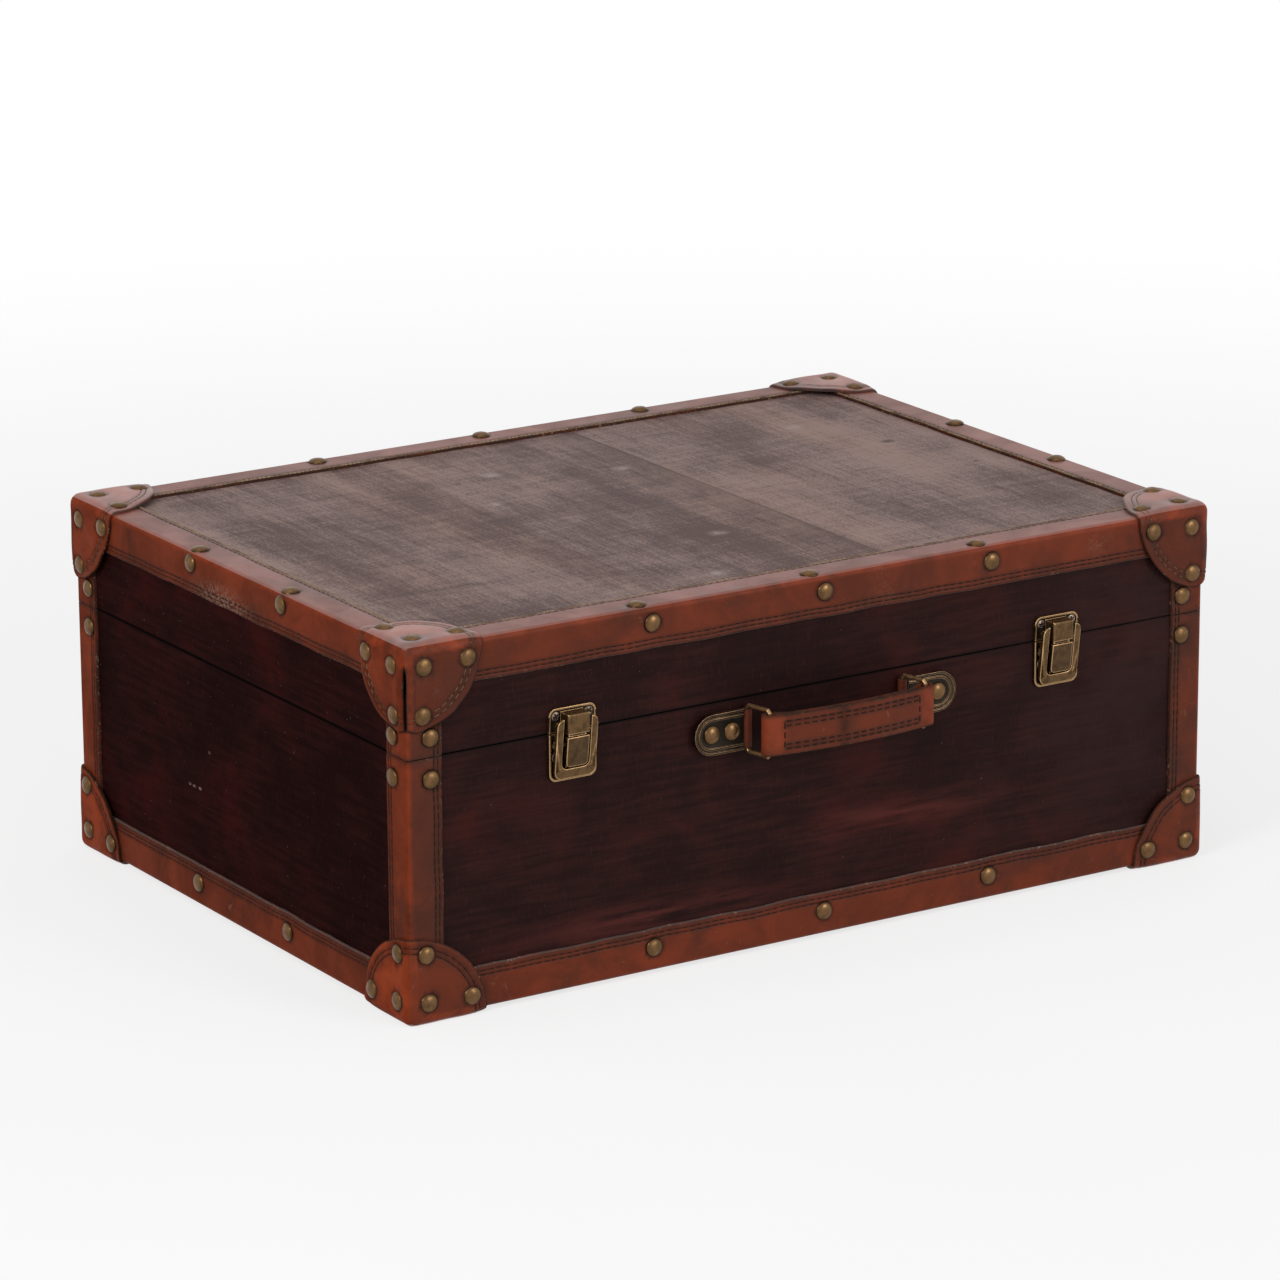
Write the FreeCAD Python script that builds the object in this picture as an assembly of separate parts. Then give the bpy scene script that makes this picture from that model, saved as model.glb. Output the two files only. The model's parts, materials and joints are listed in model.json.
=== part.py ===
import FreeCAD, Part
import math
import os

from FreeCAD import Vector

# Wooden suitcase with leather-bound edges, two rocker latches and a strap handle.
# Millimetres, +Z up, the front faces -Y.
# The origin is on the floor, in the middle of the box that holds the whole suitcase.

# Case, measured over the leather edge strips
case_length = 480.0
case_depth = 341.0
base_height = 133.0
lid_height = 56.0
seam_gap = 0.6
wall = 8.0
top_and_bottom = 5.0
rebate = 4.0
lining = 1.2
lining_drop = 3.0

# Leather binding
leather = 1.8
strip_width = 22.0
post_width = 20.0
strip_round = 1.6
patch_leather = 1.8
patch_reach = 43.0
lid_patch_above_seam = 13.0
patch_bevel = 2.0
patch_edge_steps = 9
slit_width = 1.6
slit_start = 15.0

# Domed tack heads
tack_radius = 4.85
tack_height = 2.3
front_tack_spacing = 102.0
front_tack_shift = 2.6
side_tack_spacing = 93.0
side_tack_shift = -3.0
lid_front_tack_from_edge = 8.8
lid_side_tack_from_edge = 6.2
base_tack_from_edge = 12.5
flat_tack_from_edge = 6.0
top_front_tack_shift = -3.0
top_back_tack_shift = 5.0
lid_post_tack_from_seam = 10.0
base_post_tack_from_seam = 11.0
post_tack_inset = 13.5
patch_tack_near = 9.5
patch_tack_from_edge = 8.5
patch_tack_from_arc = 9.0
handle_tack_inset = 6.8
head_sides = 6

# Hinges on the back
hinge_spacing = 260.0
hinge_width = 50.0
hinge_leaf_height = 24.0
hinge_sheet = 1.5
hinge_leaf_bevel = 3.0
knuckle_radius = 3.0
knuckle_count = 3
hinge_pin_radius = 1.5
lid_opening = 100.0
stop_spare = 1.5
stop_reach = 7.0

# Latches
latch_spacing = 292.0
latch_width = 27.0
keeper_height = 12.7
latch_drop = 24.5
latch_sheet = 0.9
latch_rim = 1.1
latch_rim_height = 1.8
latch_corner = 4.0
nose_width = 12.5
nose_reach = 8.1
nose_height = 10.4
nose_wall = 1.0
pivot_drop = 6.0
pivot_out = 2.9
pivot_radius = 0.75
ear_radius = 1.4
ear_thickness = 0.9
ear_sides = 8
frame_width = 23.4
frame_up = 14.5
frame_down = 17.0
frame_depth = 2.2
frame_sheet = 1.0
frame_tilt = 7.0
window_margin = 1.6
window_down = 12.0
window_corner = 3.2
tongue_stands_proud = 1.4
tongue_up = 5.0
tongue_down = 10.5
tongue_lip = 4.5
tongue_corner = 2.4
tongue_flange = 0.8
spring_sheet = 0.4
spring_width = 6.0

# Handle
handle_offset = 2.5
handle_drop = 15.5
handle_span = 94.0
handle_plate_length = 29.2
handle_plate_height = 21.2
handle_plate_sheet = 1.0
plate_end_steps = 10
bead_width = 1.2
bead_height = 0.8
tab_leather = 1.2
wire_radius = 1.1
wire_sides = 12
ring_width = 16.0
ring_height = 24.0
ring_corner = 1.4
handle_lean = 11.0
strap_height = 21.0
strap_thickness = 5.0
strap_leather = 2.6
strap_bow = 4.0
strap_slack = 0.6

# Screw heads
screw_radius = 2.5
screw_height = 1.1

# Clearances
running = 0.05
loose = 0.15
free = 0.3
knuckle_gap = 0.4
stop_gap = 0.9

# Derived levels and faces, about the middle of the case
floor_z = patch_leather
seam_z = floor_z + base_height
roof_z = seam_z + lid_height
half_length = case_length / 2
half_depth = case_depth / 2
wood_x = half_length - leather
wood_y = half_depth - leather
wood_floor = floor_z + leather
wood_roof = roof_z - leather
lid_patch_reach = lid_height - lid_patch_above_seam
base_rim = seam_z - seam_gap / 2
lid_rim = seam_z + seam_gap / 2


LEFT, RIGHT = Vector(-1, 0, 0), Vector(1, 0, 0)
FRONT, BACK = Vector(0, -1, 0), Vector(0, 1, 0)
UP = Vector(0, 0, 1)


def block(x0, x1, y0, y1, z0, z1):
    low = Vector(min(x0, x1), min(y0, y1), min(z0, z1))
    return Part.makeBox(abs(x1 - x0), abs(y1 - y0), abs(z1 - z0), low)


def rod(radius, start, end):
    axis = end.sub(start)
    return Part.makeCylinder(radius, axis.Length, start, axis)


def mirror_x(shape):
    return shape.mirror(Vector(0, 0, 0), Vector(1, 0, 0))


def mirror_y(shape):
    return shape.mirror(Vector(0, 0, 0), Vector(0, 1, 0))


def prism(points, along):
    """Extrude a closed polygon of vectors."""
    face = Part.Face(Part.makePolygon(points + points[:1]))
    return face.extrude(along)


def joined(first, *others):
    return first.fuse(list(others)).removeSplitter()


def edges_on_line(shape, fixed):
    """Edges whose two ends both have the given coordinates, such as {"x": 0, "z": 5}."""
    found = []
    for edge in shape.Edges:
        ends = [vertex.Point for vertex in edge.Vertexes]
        offsets = [abs(getattr(end, axis) - value) for end in ends for axis, value in fixed.items()]
        if len(ends) == 2 and max(offsets) < 0.001:
            found.append(edge)
    return found


def rounded(shape, radius, *lines):
    edges = [edge for fixed in lines for edge in edges_on_line(shape, fixed)]
    return shape.makeFillet(radius, edges)


def bevelled(shape, size, *lines):
    edges = [edge for fixed in lines for edge in edges_on_line(shape, fixed)]
    return shape.makeChamfer(size, edges)


def circle_points(radius, sides):
    """Corners of a regular polygon about Z that lies inside a circle, with a flat to each side."""
    turns = [2 * math.pi * (i + 0.5) / sides for i in range(sides)]
    return [Vector(radius * math.cos(turn), radius * math.sin(turn), 0) for turn in turns]


def head(radius, height):
    """A low faceted dome on the XY plane, facing +Z."""
    foot = circle_points(radius, head_sides)
    crown = [point * 0.66 + UP * height for point in foot]
    faces = [Part.Face(Part.makePolygon(ring + ring[:1])) for ring in (foot, crown)]
    for i in range(head_sides):
        quad = [foot[i - 1], foot[i], crown[i], crown[i - 1], foot[i - 1]]
        faces.append(Part.Face(Part.makePolygon(quad)))
    return Part.Solid(Part.Shell(faces))


def facing(shape, normal, place):
    """Copy a shape that faces +Z so that it faces along normal, with its origin at place."""
    copy = shape.copy()
    copy.Placement = FreeCAD.Placement(place, FreeCAD.Rotation(Vector(0, 0, 1), normal))
    return copy


def carcass(panel_low, walls_low, walls_high):
    """Four walls and one flat panel, each let into the others by a rebate."""
    panel = block(rebate - wood_x, wood_x - rebate, rebate - wood_y, wood_y - rebate,
                  panel_low, panel_low + top_and_bottom)
    left = block(-wood_x, wall - wood_x, rebate - wood_y, wood_y - rebate, walls_low, walls_high)
    right = mirror_x(left)
    front = block(-wood_x, wood_x, -wood_y, wall - wood_y, walls_low, walls_high)
    front = front.cut([left, right, panel])
    sides = {"left": left.cut(panel), "right": right.cut(panel)}
    return {"panel": panel, "front": front, "back": mirror_y(front), **sides}


def lining_tray(low, high, floor_low, floor_high):
    x, y = wood_x - wall, wood_y - wall
    outside = block(-x, x, -y, y, low, high)
    inside = block(lining - x, x - lining, lining - y, y - lining, floor_low, floor_high)
    return outside.cut(inside)


def edge_strips(level, inward):
    """Leather angles round the four edges at one level; inward is the way from the edge to the seam."""
    under = level + inward * leather
    reach = level + inward * strip_width
    front_leg = block(-half_length, half_length, -half_depth, leather - half_depth, under, reach)
    front_flat = block(-half_length, half_length, -half_depth, strip_width - half_depth, level, under)
    front = rounded(joined(front_leg, front_flat), strip_round, {"y": -half_depth, "z": level})
    side_y = half_depth - leather
    flat_y = half_depth - strip_width
    side_leg = block(-half_length, leather - half_length, -side_y, side_y, under, reach)
    side_flat = block(-half_length, strip_width - half_length, -flat_y, flat_y, level, under)
    left = rounded(joined(side_leg, side_flat), strip_round, {"x": -half_length, "z": level})
    return {"front": front, "back": mirror_y(front), "left": left, "right": mirror_x(left)}


def corner_post(low, high):
    """Front left leather angle up a vertical edge."""
    x, y = -half_length, -half_depth
    front_leg = block(x, x + post_width, y, y + leather, low, high)
    side_leg = block(x, x + leather, y + leather, y + post_width, low, high)
    return rounded(joined(front_leg, side_leg), strip_round, {"x": x, "y": y})


def quarter_plate(corner, along, up, through, reach):
    """A quarter-disc plate: corner is its square corner, along and up its two straight edges."""
    points = [corner]
    for i in range(patch_edge_steps + 1):
        turn = math.pi / 2 * i / patch_edge_steps
        points.append(corner + along * (reach * math.cos(turn)) + up * (reach * math.sin(turn)))
    return prism(points, through * patch_leather)


def corner_patch(level, inward, inner_reach, slit):
    """Front left three-lobed leather patch over a corner of the strips."""
    x = -half_length - patch_leather
    y = -half_depth - patch_leather
    z = level - inward * patch_leather
    reach = inner_reach + patch_leather
    corner = Vector(x, y, z)
    to_seam = Vector(0, 0, inward)
    front = quarter_plate(corner, RIGHT, to_seam, BACK, reach)
    side = quarter_plate(corner, BACK, to_seam, RIGHT, reach)
    flat = quarter_plate(corner, RIGHT, BACK, to_seam, reach)
    far_z = z + inward * reach
    envelope = block(x, x + reach, y, y + reach, z, far_z)
    envelope = bevelled(envelope, patch_bevel, {"x": x, "y": y}, {"x": x, "z": z}, {"y": y, "z": z})
    patch = joined(front, side, flat).common(envelope)
    if slit:
        open_x = slit_width - half_length
        open_y = slit_width - half_depth
        patch = patch.cut(block(x, open_x, y, open_y, level + inward * slit_start, far_z))
    return patch


def four_corners(shape):
    return {"front_left": shape, "front_right": mirror_x(shape),
            "back_left": mirror_y(shape), "back_right": mirror_y(mirror_x(shape))}


def in_four_corners(places):
    """Mirror (normal, place) pairs of the front left corner into all four."""

    def flipped(vector, sx, sy):
        return Vector(sx * vector.x, sy * vector.y, vector.z)

    signs = [(sx, sy) for sx in (1, -1) for sy in (1, -1)]
    return [(flipped(normal, *pair), flipped(place, *pair)) for normal, place in places for pair in signs]


def strip_tacks(front_z, side_z):
    """Places of the tacks along the strips' upright legs, at one height in front and one at the sides."""
    places = []
    for i in (-1, 0, 1):
        x = i * front_tack_spacing + front_tack_shift
        places.append((FRONT, Vector(x, -half_depth, front_z)))
        places.append((BACK, Vector(x, half_depth, front_z)))
    for i in (-0.5, 0.5):
        y = i * side_tack_spacing + side_tack_shift
        places.append((LEFT, Vector(-half_length, y, side_z)))
        places.append((RIGHT, Vector(half_length, y, side_z)))
    return places


def flat_tacks(level):
    """Places of the tacks along the strips' flat legs on top of the lid."""
    x = half_length - flat_tack_from_edge
    y = half_depth - flat_tack_from_edge
    places = []
    for i in (-1, 0, 1):
        places.append((UP, Vector(i * front_tack_spacing + top_front_tack_shift, -y, level)))
        places.append((UP, Vector(i * front_tack_spacing + top_back_tack_shift, y, level)))
    for i in (-0.5, 0.5):
        for side in (-1, 1):
            places.append((UP, Vector(side * x, i * side_tack_spacing + side_tack_shift, level)))
    return places


def post_tacks(z):
    return in_four_corners([
        (FRONT, Vector(post_tack_inset - half_length, -half_depth, z)),
        (LEFT, Vector(-half_length, post_tack_inset - half_depth, z)),
    ])


def patch_tacks(level, inward, reach, with_flat):
    """Three tacks on each showing lobe of the patches."""
    places = []
    far = reach - patch_tack_from_arc
    edge = patch_tack_from_edge
    spots = ((patch_tack_near, patch_tack_near), (far, edge), (edge, far))
    for along, away in spots:
        z = level + inward * away
        places.append((FRONT, Vector(along - half_length, -half_depth - patch_leather, z)))
        places.append((LEFT, Vector(-half_length - patch_leather, along - half_depth, z)))
        if with_flat:
            top = level - inward * patch_leather
            places.append((UP, Vector(along - half_length, away - half_depth, top)))
    return in_four_corners(places)


def heads(places, radius, height):
    shape = head(radius, height)
    return [facing(shape, normal, place) for normal, place in places]


# Hinges: the pin lies behind the back wall, level with the seam
hinge_y = wood_y + knuckle_radius
knuckle_clear = knuckle_radius + knuckle_gap
stop_slant = math.radians((180 - lid_opening - stop_spare) / 2)


def hinge_leaf(side, knuckles):
    """One leaf at x = 0; side is +1 for the lid and -1 for the base."""
    near = seam_z + side * knuckle_clear
    far = seam_z + side * hinge_leaf_height
    half = hinge_width / 2
    leaf = block(-half, half, wood_y, wood_y + hinge_sheet, near, far)
    leaf = bevelled(leaf, hinge_leaf_bevel, {"x": -half, "z": far}, {"x": half, "z": far})
    step = hinge_width / knuckle_count
    pieces = []
    for i in knuckles:
        x0 = i * step - half + (free / 2 if i > 0 else 0)
        x1 = (i + 1) * step - half - (free / 2 if i < knuckle_count - 1 else 0)
        pieces.append(block(x0, x1, wood_y, wood_y + hinge_sheet, seam_z, near))
        pieces.append(rod(knuckle_radius, Vector(x0, hinge_y, seam_z), Vector(x1, hinge_y, seam_z)))
    for x0 in (-half, half - step + free):
        pieces.append(stop_lug(x0, step - free, side))
    bore = rod(hinge_pin_radius + running, Vector(-half, hinge_y, seam_z), Vector(half, hinge_y, seam_z))
    return joined(leaf, *pieces).cut(bore)


def stop_lug(x, length, side):
    """A wedge on the leaf; its slanted face points at the pin and meets the other leaf's when open."""
    leaf_face = hinge_sheet - knuckle_radius
    inner = knuckle_radius + stop_gap
    points = [
        (leaf_face, math.sqrt(inner ** 2 - leaf_face ** 2)),
        (inner * math.sin(stop_slant), inner * math.cos(stop_slant)),
        (stop_reach * math.sin(stop_slant), stop_reach * math.cos(stop_slant)),
        (leaf_face, stop_reach + hinge_sheet),
    ]
    corners = [Vector(x, hinge_y + back, seam_z + side * away) for back, away in points]
    return prism(corners, Vector(length, 0, 0))


def hinge_screw_places(side):
    """Three screws on each of the two leaves of one side."""
    places = []
    for hinge_x in (-hinge_spacing / 2, hinge_spacing / 2):
        for i in (-1, 0, 1):
            x = hinge_x + i * hinge_width / 3
            z = seam_z + side * (hinge_leaf_height + stop_reach) / 2 + side * screw_radius
            places.append((BACK, Vector(x, wood_y + hinge_sheet, z)))
    return places


# Latches, at x = 0 with the wood's front face at y = 0 and the seam at z = 0
frame_front = ear_radius + free + frame_sheet
frame_inner = frame_front - frame_sheet
frame_back = frame_front - frame_depth
window_half = nose_width / 2 + window_margin


def latch_plate_blank(low, high, outer):
    """A plate with a raised rim, open towards the seam; outer is the edge away from it."""
    half = latch_width / 2
    plate = block(-half, half, 0, -latch_rim_height, low, high)
    plate = rounded(plate, latch_corner, {"x": -half, "z": outer}, {"x": half, "z": outer})
    inset = half - latch_rim
    rim_edge = outer - math.copysign(latch_rim, outer)
    seam_edge = low if outer == high else high
    pocket = block(-inset, inset, -latch_sheet, -latch_rim_height, rim_edge, seam_edge)
    pocket_corners = [{"x": x, "z": rim_edge} for x in (-inset, inset)]
    return plate.cut(rounded(pocket, latch_corner - latch_rim, *pocket_corners))


def latch_keeper():
    """Plate on the lid with the hollow nose that the tongue goes up into."""
    low = seam_gap / 2
    half = nose_width / 2
    nose = block(-half, half, 0, -nose_reach, low, nose_height)
    nose = rounded(nose, nose_wall, {"x": -half, "y": -nose_reach}, {"x": half, "y": -nose_reach},
                   {"y": -nose_reach, "z": nose_height})
    inner = half - nose_wall
    hollow = block(-inner, inner, -latch_sheet, nose_wall - nose_reach, low, nose_height - nose_wall)
    return joined(latch_plate_blank(low, keeper_height, keeper_height), nose).cut(hollow)


ear_inner = frame_width / 2 - frame_sheet - free - ear_thickness


def latch_plate():
    """Plate on the base with two ears for the pivot pin."""
    plate = latch_plate_blank(-latch_drop, -seam_gap / 2, -latch_drop)
    ears = []
    for side in (-1, 1):
        x0, x1 = side * ear_inner, side * (ear_inner + ear_thickness)
        ear = joined(*pivot_lug(x0, x1, -pivot_out))
        ears.append(ear.translated(Vector(0, -pivot_out, -pivot_drop)))
    return joined(plate, *ears).cut(pivot_rod(pivot_radius + running, latch_width / 2))


def pivot_rod(radius, half):
    return rod(radius, Vector(-half, -pivot_out, -pivot_drop), Vector(half, -pivot_out, -pivot_drop))


def pivot_pin():
    return pivot_rod(pivot_radius, frame_width / 2 + free)


def tilted(shape):
    """Move a rocker piece, drawn about its pivot, to the pivot and lean its top outwards."""
    placed = shape.copy()
    placed.rotate(Vector(0, 0, 0), Vector(1, 0, 0), frame_tilt)
    placed.translate(Vector(0, -pivot_out, -pivot_drop))
    return placed


def pivot_lug(x0, x1, reach):
    """A faceted eye round the pivot, joined to whatever stands at reach in front of it."""
    outline = circle_points(ear_radius / math.cos(math.pi / ear_sides), ear_sides)
    eye = prism([Vector(x0, point.x, point.y) for point in outline], Vector(x1 - x0, 0, 0))
    web = block(x0, x1, 0, -reach, -ear_radius, ear_radius)
    return [eye, web]


def latch_frame():
    """U-shaped pan that the finger lifts by its lower end."""
    half = frame_width / 2
    pan = block(-half, half, -frame_back, -frame_front, -frame_down, frame_up)
    corners = [{"x": x, "z": z} for x in (-half, half) for z in (-frame_down, frame_up)]
    pan = rounded(pan, latch_corner, *corners)
    inset = half - frame_sheet
    low = frame_sheet - frame_down
    hollow = block(-inset, inset, -frame_back, -frame_inner, low, frame_up)
    hollow = bevelled(hollow, latch_corner - frame_sheet, {"x": -inset, "z": low}, {"x": inset, "z": low})
    window = block(-window_half, window_half, 0, -2 * frame_front, -window_down, frame_up)
    corners = [{"x": x, "z": -window_down} for x in (-window_half, window_half)]
    window = rounded(window, window_corner, *corners)
    lugs = pivot_lug(inset, half, frame_inner) + pivot_lug(-half, -inset, frame_inner)
    frame = joined(pan.cut([hollow, window]), *lugs)
    bore = rod(pivot_radius + running, Vector(-half, 0, 0), Vector(half, 0, 0))
    return tilted(frame.cut(bore))


def latch_tongue():
    """Shallow box in the frame's window; its lip goes up into the nose, its flange sits under the frame."""
    half = nose_width / 2
    front = frame_front + tongue_stands_proud
    inner = front - nose_wall
    box = block(-half, half, -frame_inner, -front, -tongue_down, tongue_up)
    box = rounded(box, tongue_corner, {"x": -half, "z": -tongue_down}, {"x": half, "z": -tongue_down})
    inset = half - nose_wall
    hollow = block(-inset, inset, -frame_inner, -inner, nose_wall - tongue_down, tongue_up - nose_wall)
    flange_low = -(window_down + frame_down) / 2
    flange_back = tongue_flange - frame_inner
    flange = block(-inset, inset, -frame_inner, flange_back, flange_low, nose_wall - tongue_down)
    lip = block(-inset + free, inset - free, -frame_inner, -frame_inner - nose_wall,
                tongue_up - nose_wall, tongue_up + tongue_lip)
    lugs = pivot_lug(inset, half, frame_inner) + pivot_lug(-half, -inset, frame_inner)
    tongue = joined(box.cut(hollow), flange, lip, *lugs)
    bore = rod(pivot_radius + running, Vector(-half, 0, 0), Vector(half, 0, 0))
    return tilted(tongue.cut(bore))


def latch_spring():
    """Leaf spring: flat foot on the plate, passing under the pin and up to the tongue."""
    under_pin = (latch_sheet + pivot_out - pivot_radius) / 2
    tilt = math.radians(frame_tilt)
    top_up = (tongue_up + ear_radius) / 2
    tongue_inside = frame_front + tongue_stands_proud - nose_wall
    tongue_out = pivot_out + tongue_inside * math.cos(tilt) + top_up * math.sin(tilt)
    centre = [
        (-latch_drop + latch_corner, latch_sheet + spring_sheet / 2),
        (-pivot_drop - 2 * ear_radius, latch_sheet + spring_sheet / 2),
        (-pivot_drop + ear_radius, under_pin),
        (top_up - pivot_drop, tongue_out - free - spring_sheet),
    ]
    sides = {1: [], -1: []}
    for i, (z, out) in enumerate(centre):
        before, after = centre[max(i - 1, 0)], centre[min(i + 1, len(centre) - 1)]
        turn = math.atan2(after[1] - before[1], after[0] - before[0])
        for side, points in sides.items():
            shift = side * spring_sheet / 2
            y = -out - shift * math.cos(turn)
            points.append(Vector(-spring_width / 2, y, z - shift * math.sin(turn)))
    return prism(sides[1] + sides[-1][::-1], Vector(spring_width, 0, 0))


def at_latches(shape):
    """The left and right copies of a latch piece on the case."""
    copies = {}
    for side, x in (("left", -latch_spacing / 2), ("right", latch_spacing / 2)):
        copies[side] = shape.translated(Vector(x, -wood_y, seam_z))
    return copies


screw_inset = latch_width / 2 - latch_rim - screw_radius - free


def latch_screw_places(z):
    places = []
    for latch_x in (-latch_spacing / 2, latch_spacing / 2):
        for side in (-1, 1):
            places.append((FRONT, Vector(latch_x + side * screw_inset, -wood_y - latch_sheet, seam_z + z)))
    return places


# Handle, with the wood's front face at y = 0, the handle's middle at x = 0 and z = 0
bar_out = tab_leather + loose + wire_radius
tab_thickness = 2 * tab_leather
plate_face = tab_thickness + handle_plate_sheet
plate_start = handle_span / 2 + bar_out + free
strap_bore = wire_radius + strap_slack
loop_radius = strap_bore + strap_leather
lean = math.radians(handle_lean)
ring_shift = Vector(ring_width * math.sin(lean), -ring_width * math.cos(lean), 0)


def tongue_outline(inset, low_y, high_y):
    """Right-hand plate with a round outer end, its long edges drawn in by inset, between two depths."""
    radius = handle_plate_height / 2 - inset
    middle = plate_start + handle_plate_length - handle_plate_height / 2
    points = [Vector(plate_start, low_y, -radius), Vector(plate_start, low_y, radius)]
    for i in range(plate_end_steps + 1):
        turn = math.pi * i / plate_end_steps
        points.append(Vector(middle + radius * math.sin(turn), low_y, radius * math.cos(turn)))
    return prism(points, Vector(0, high_y - low_y, 0))


def handle_plate():
    """Brass plate with two raised beads round its edge."""
    bead_top = plate_face + bead_height
    plate = tongue_outline(0, -tab_thickness, -bead_top)
    groove = tongue_outline(bead_width, -plate_face, -bead_top)
    second = tongue_outline(2 * bead_width, -plate_face, -bead_top)
    field = tongue_outline(3 * bead_width, -plate_face, -bead_top)
    return plate.cut(groove.cut(second)).cut(field)


def handle_tab():
    """Folded leather tab: a double layer under the plate and a loop round the ring's inner bar."""
    half = handle_plate_height / 2 - bead_width / 2
    pad = tongue_outline(bead_width / 2, 0, -tab_thickness)
    neck = block(handle_span / 2, plate_start + bead_width, 0, -tab_thickness, -half, half)
    low, high = Vector(handle_span / 2, -bar_out, -half), Vector(handle_span / 2, -bar_out, half)
    tab = joined(pad, neck, rod(bar_out, low, high))
    return tab.cut(rod(wire_radius + loose, low, high))


def handle_ring():
    """Rectangular wire ring with cut corners about its inner bar, leaning as the handle hangs."""
    half = ring_height / 2
    points = []
    for up in (1, -1):
        ends = [(-ring_corner, half), (ring_corner - ring_width, half), (-ring_width, half - ring_corner)]
        ends = [(0, half - ring_corner)] + ends
        for y, z in ends[::up]:
            points.append(Vector(0, y, up * z))
    start = Vector(0, 0, 0)
    path = Part.makePolygon([start] + points + [start])
    outline = circle_points(wire_radius, wire_sides)
    section = Part.makePolygon(outline + outline[:1])
    ring = path.makePipeShell([section], True, False, 1)
    ring.rotate(start, UP, handle_lean)
    return ring


def handle_strap():
    """Bowed double strap whose ends wrap the outer bars of the two rings."""
    half = handle_span / 2
    arc_radius = (half ** 2 + strap_bow ** 2) / (2 * strap_bow)
    centre_y = arc_radius - strap_bow
    spread = math.asin(half / arc_radius)
    front, back = arc_radius + loop_radius, arc_radius + loop_radius - strap_thickness
    low = -strap_height / 2

    def on_arc(radius, turn):
        return Vector(radius * math.sin(turn), centre_y - radius * math.cos(turn), low)

    edges = [
        Part.Arc(on_arc(front, -spread), on_arc(front, 0), on_arc(front, spread)).toShape(),
        Part.LineSegment(on_arc(front, spread), on_arc(back, spread)).toShape(),
        Part.Arc(on_arc(back, spread), on_arc(back, 0), on_arc(back, -spread)).toShape(),
        Part.LineSegment(on_arc(back, -spread), on_arc(front, -spread)).toShape(),
    ]
    up = Vector(0, 0, strap_height)
    body = Part.Face(Part.Wire(edges)).extrude(up)
    ends = [Vector(side * half, 0, low) for side in (-1, 1)]
    body = joined(body, *[rod(loop_radius, end, end + up) for end in ends])
    return body.cut([rod(strap_bore, end, end + up) for end in ends])


handle_middle = Vector(handle_offset, -wood_y, seam_z - handle_drop)
bar_shift = Vector(0, -bar_out, 0)


def handle_tack_places():
    """Two tacks on each handle plate."""
    y = -wood_y - plate_face
    outer = plate_start + handle_plate_length - handle_plate_height / 2
    inner = plate_start + handle_tack_inset
    places = []
    for side in (-1, 1):
        for along in (inner, outer):
            places.append((FRONT, Vector(handle_offset + side * along, y, handle_middle.z)))
    return places


# The finished pieces move back so that the origin is in the middle of the whole suitcase's box
handle_reach = bar_out + ring_width * math.cos(lean) + loop_radius + strap_bow - leather
back_reach = max(knuckle_radius + stop_reach * math.sin(stop_slant) - leather, patch_leather + tack_height)
case_y = (handle_reach - back_reach) / 2

nodes = {}


def add(name, *shapes):
    whole = shapes[0] if len(shapes) == 1 else Part.makeCompound(list(shapes))
    nodes[name] = whole.translated(Vector(0, case_y, 0))


def build_base():
    walls = carcass(wood_floor, wood_floor, base_rim)
    add("base_bottom_panel", walls.pop("panel"))
    for side, shape in walls.items():
        add(f"base_{side}_panel", shape)
    inside = wood_floor + top_and_bottom
    rim = base_rim - lining_drop
    add("base_lining", lining_tray(inside, rim, inside + lining, rim))
    for side, shape in edge_strips(floor_z, 1).items():
        add(f"base_edge_{side}", shape)
    for place, shape in four_corners(corner_post(floor_z + strip_width, base_rim)).items():
        add(f"base_post_{place}", shape)
    for place, shape in four_corners(corner_patch(floor_z, 1, patch_reach, False)).items():
        add(f"base_corner_{place}", shape)
    strip_z = floor_z + base_tack_from_edge
    places = strip_tacks(strip_z, strip_z) + post_tacks(seam_z - base_post_tack_from_seam)
    places += patch_tacks(floor_z, 1, patch_reach, False) + handle_tack_places()
    add("base_tacks", *heads(places, tack_radius, tack_height))


def build_lid():
    walls = carcass(wood_roof - top_and_bottom, lid_rim, wood_roof)
    add("lid_top_panel", walls.pop("panel"))
    for side, shape in walls.items():
        add(f"lid_{side}_panel", shape)
    inside = wood_roof - top_and_bottom
    rim = lid_rim + lining_drop
    add("lid_lining", lining_tray(rim, inside, rim, inside - lining))
    for side, shape in edge_strips(roof_z, -1).items():
        add(f"lid_edge_{side}", shape)
    add("lid_posts", *four_corners(corner_post(lid_rim, roof_z - strip_width)).values())
    for place, shape in four_corners(corner_patch(roof_z, -1, lid_patch_reach, True)).items():
        add(f"lid_corner_{place}", shape)
    places = strip_tacks(roof_z - lid_front_tack_from_edge, roof_z - lid_side_tack_from_edge)
    places += flat_tacks(roof_z) + post_tacks(seam_z + lid_post_tack_from_seam)
    places += patch_tacks(roof_z, -1, lid_patch_reach, True)
    add("lid_tacks", *heads(places, tack_radius, tack_height))


def build_hinges():
    base_leaf = hinge_leaf(-1, range(0, knuckle_count, 2))
    lid_leaf = hinge_leaf(1, range(1, knuckle_count, 2))
    leaves = {"base": base_leaf, "lid": lid_leaf}
    half_pin = Vector(hinge_width / 2, 0, 0)
    pins = []
    for side, x in (("left", -hinge_spacing / 2), ("right", hinge_spacing / 2)):
        for part, leaf in leaves.items():
            add(f"hinge_leaf_{part}_{side}", leaf.translated(Vector(x, 0, 0)))
        middle = Vector(x, hinge_y, seam_z)
        pins.append(rod(hinge_pin_radius, middle - half_pin, middle + half_pin))
    add("hinge_pins", *pins)


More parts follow.
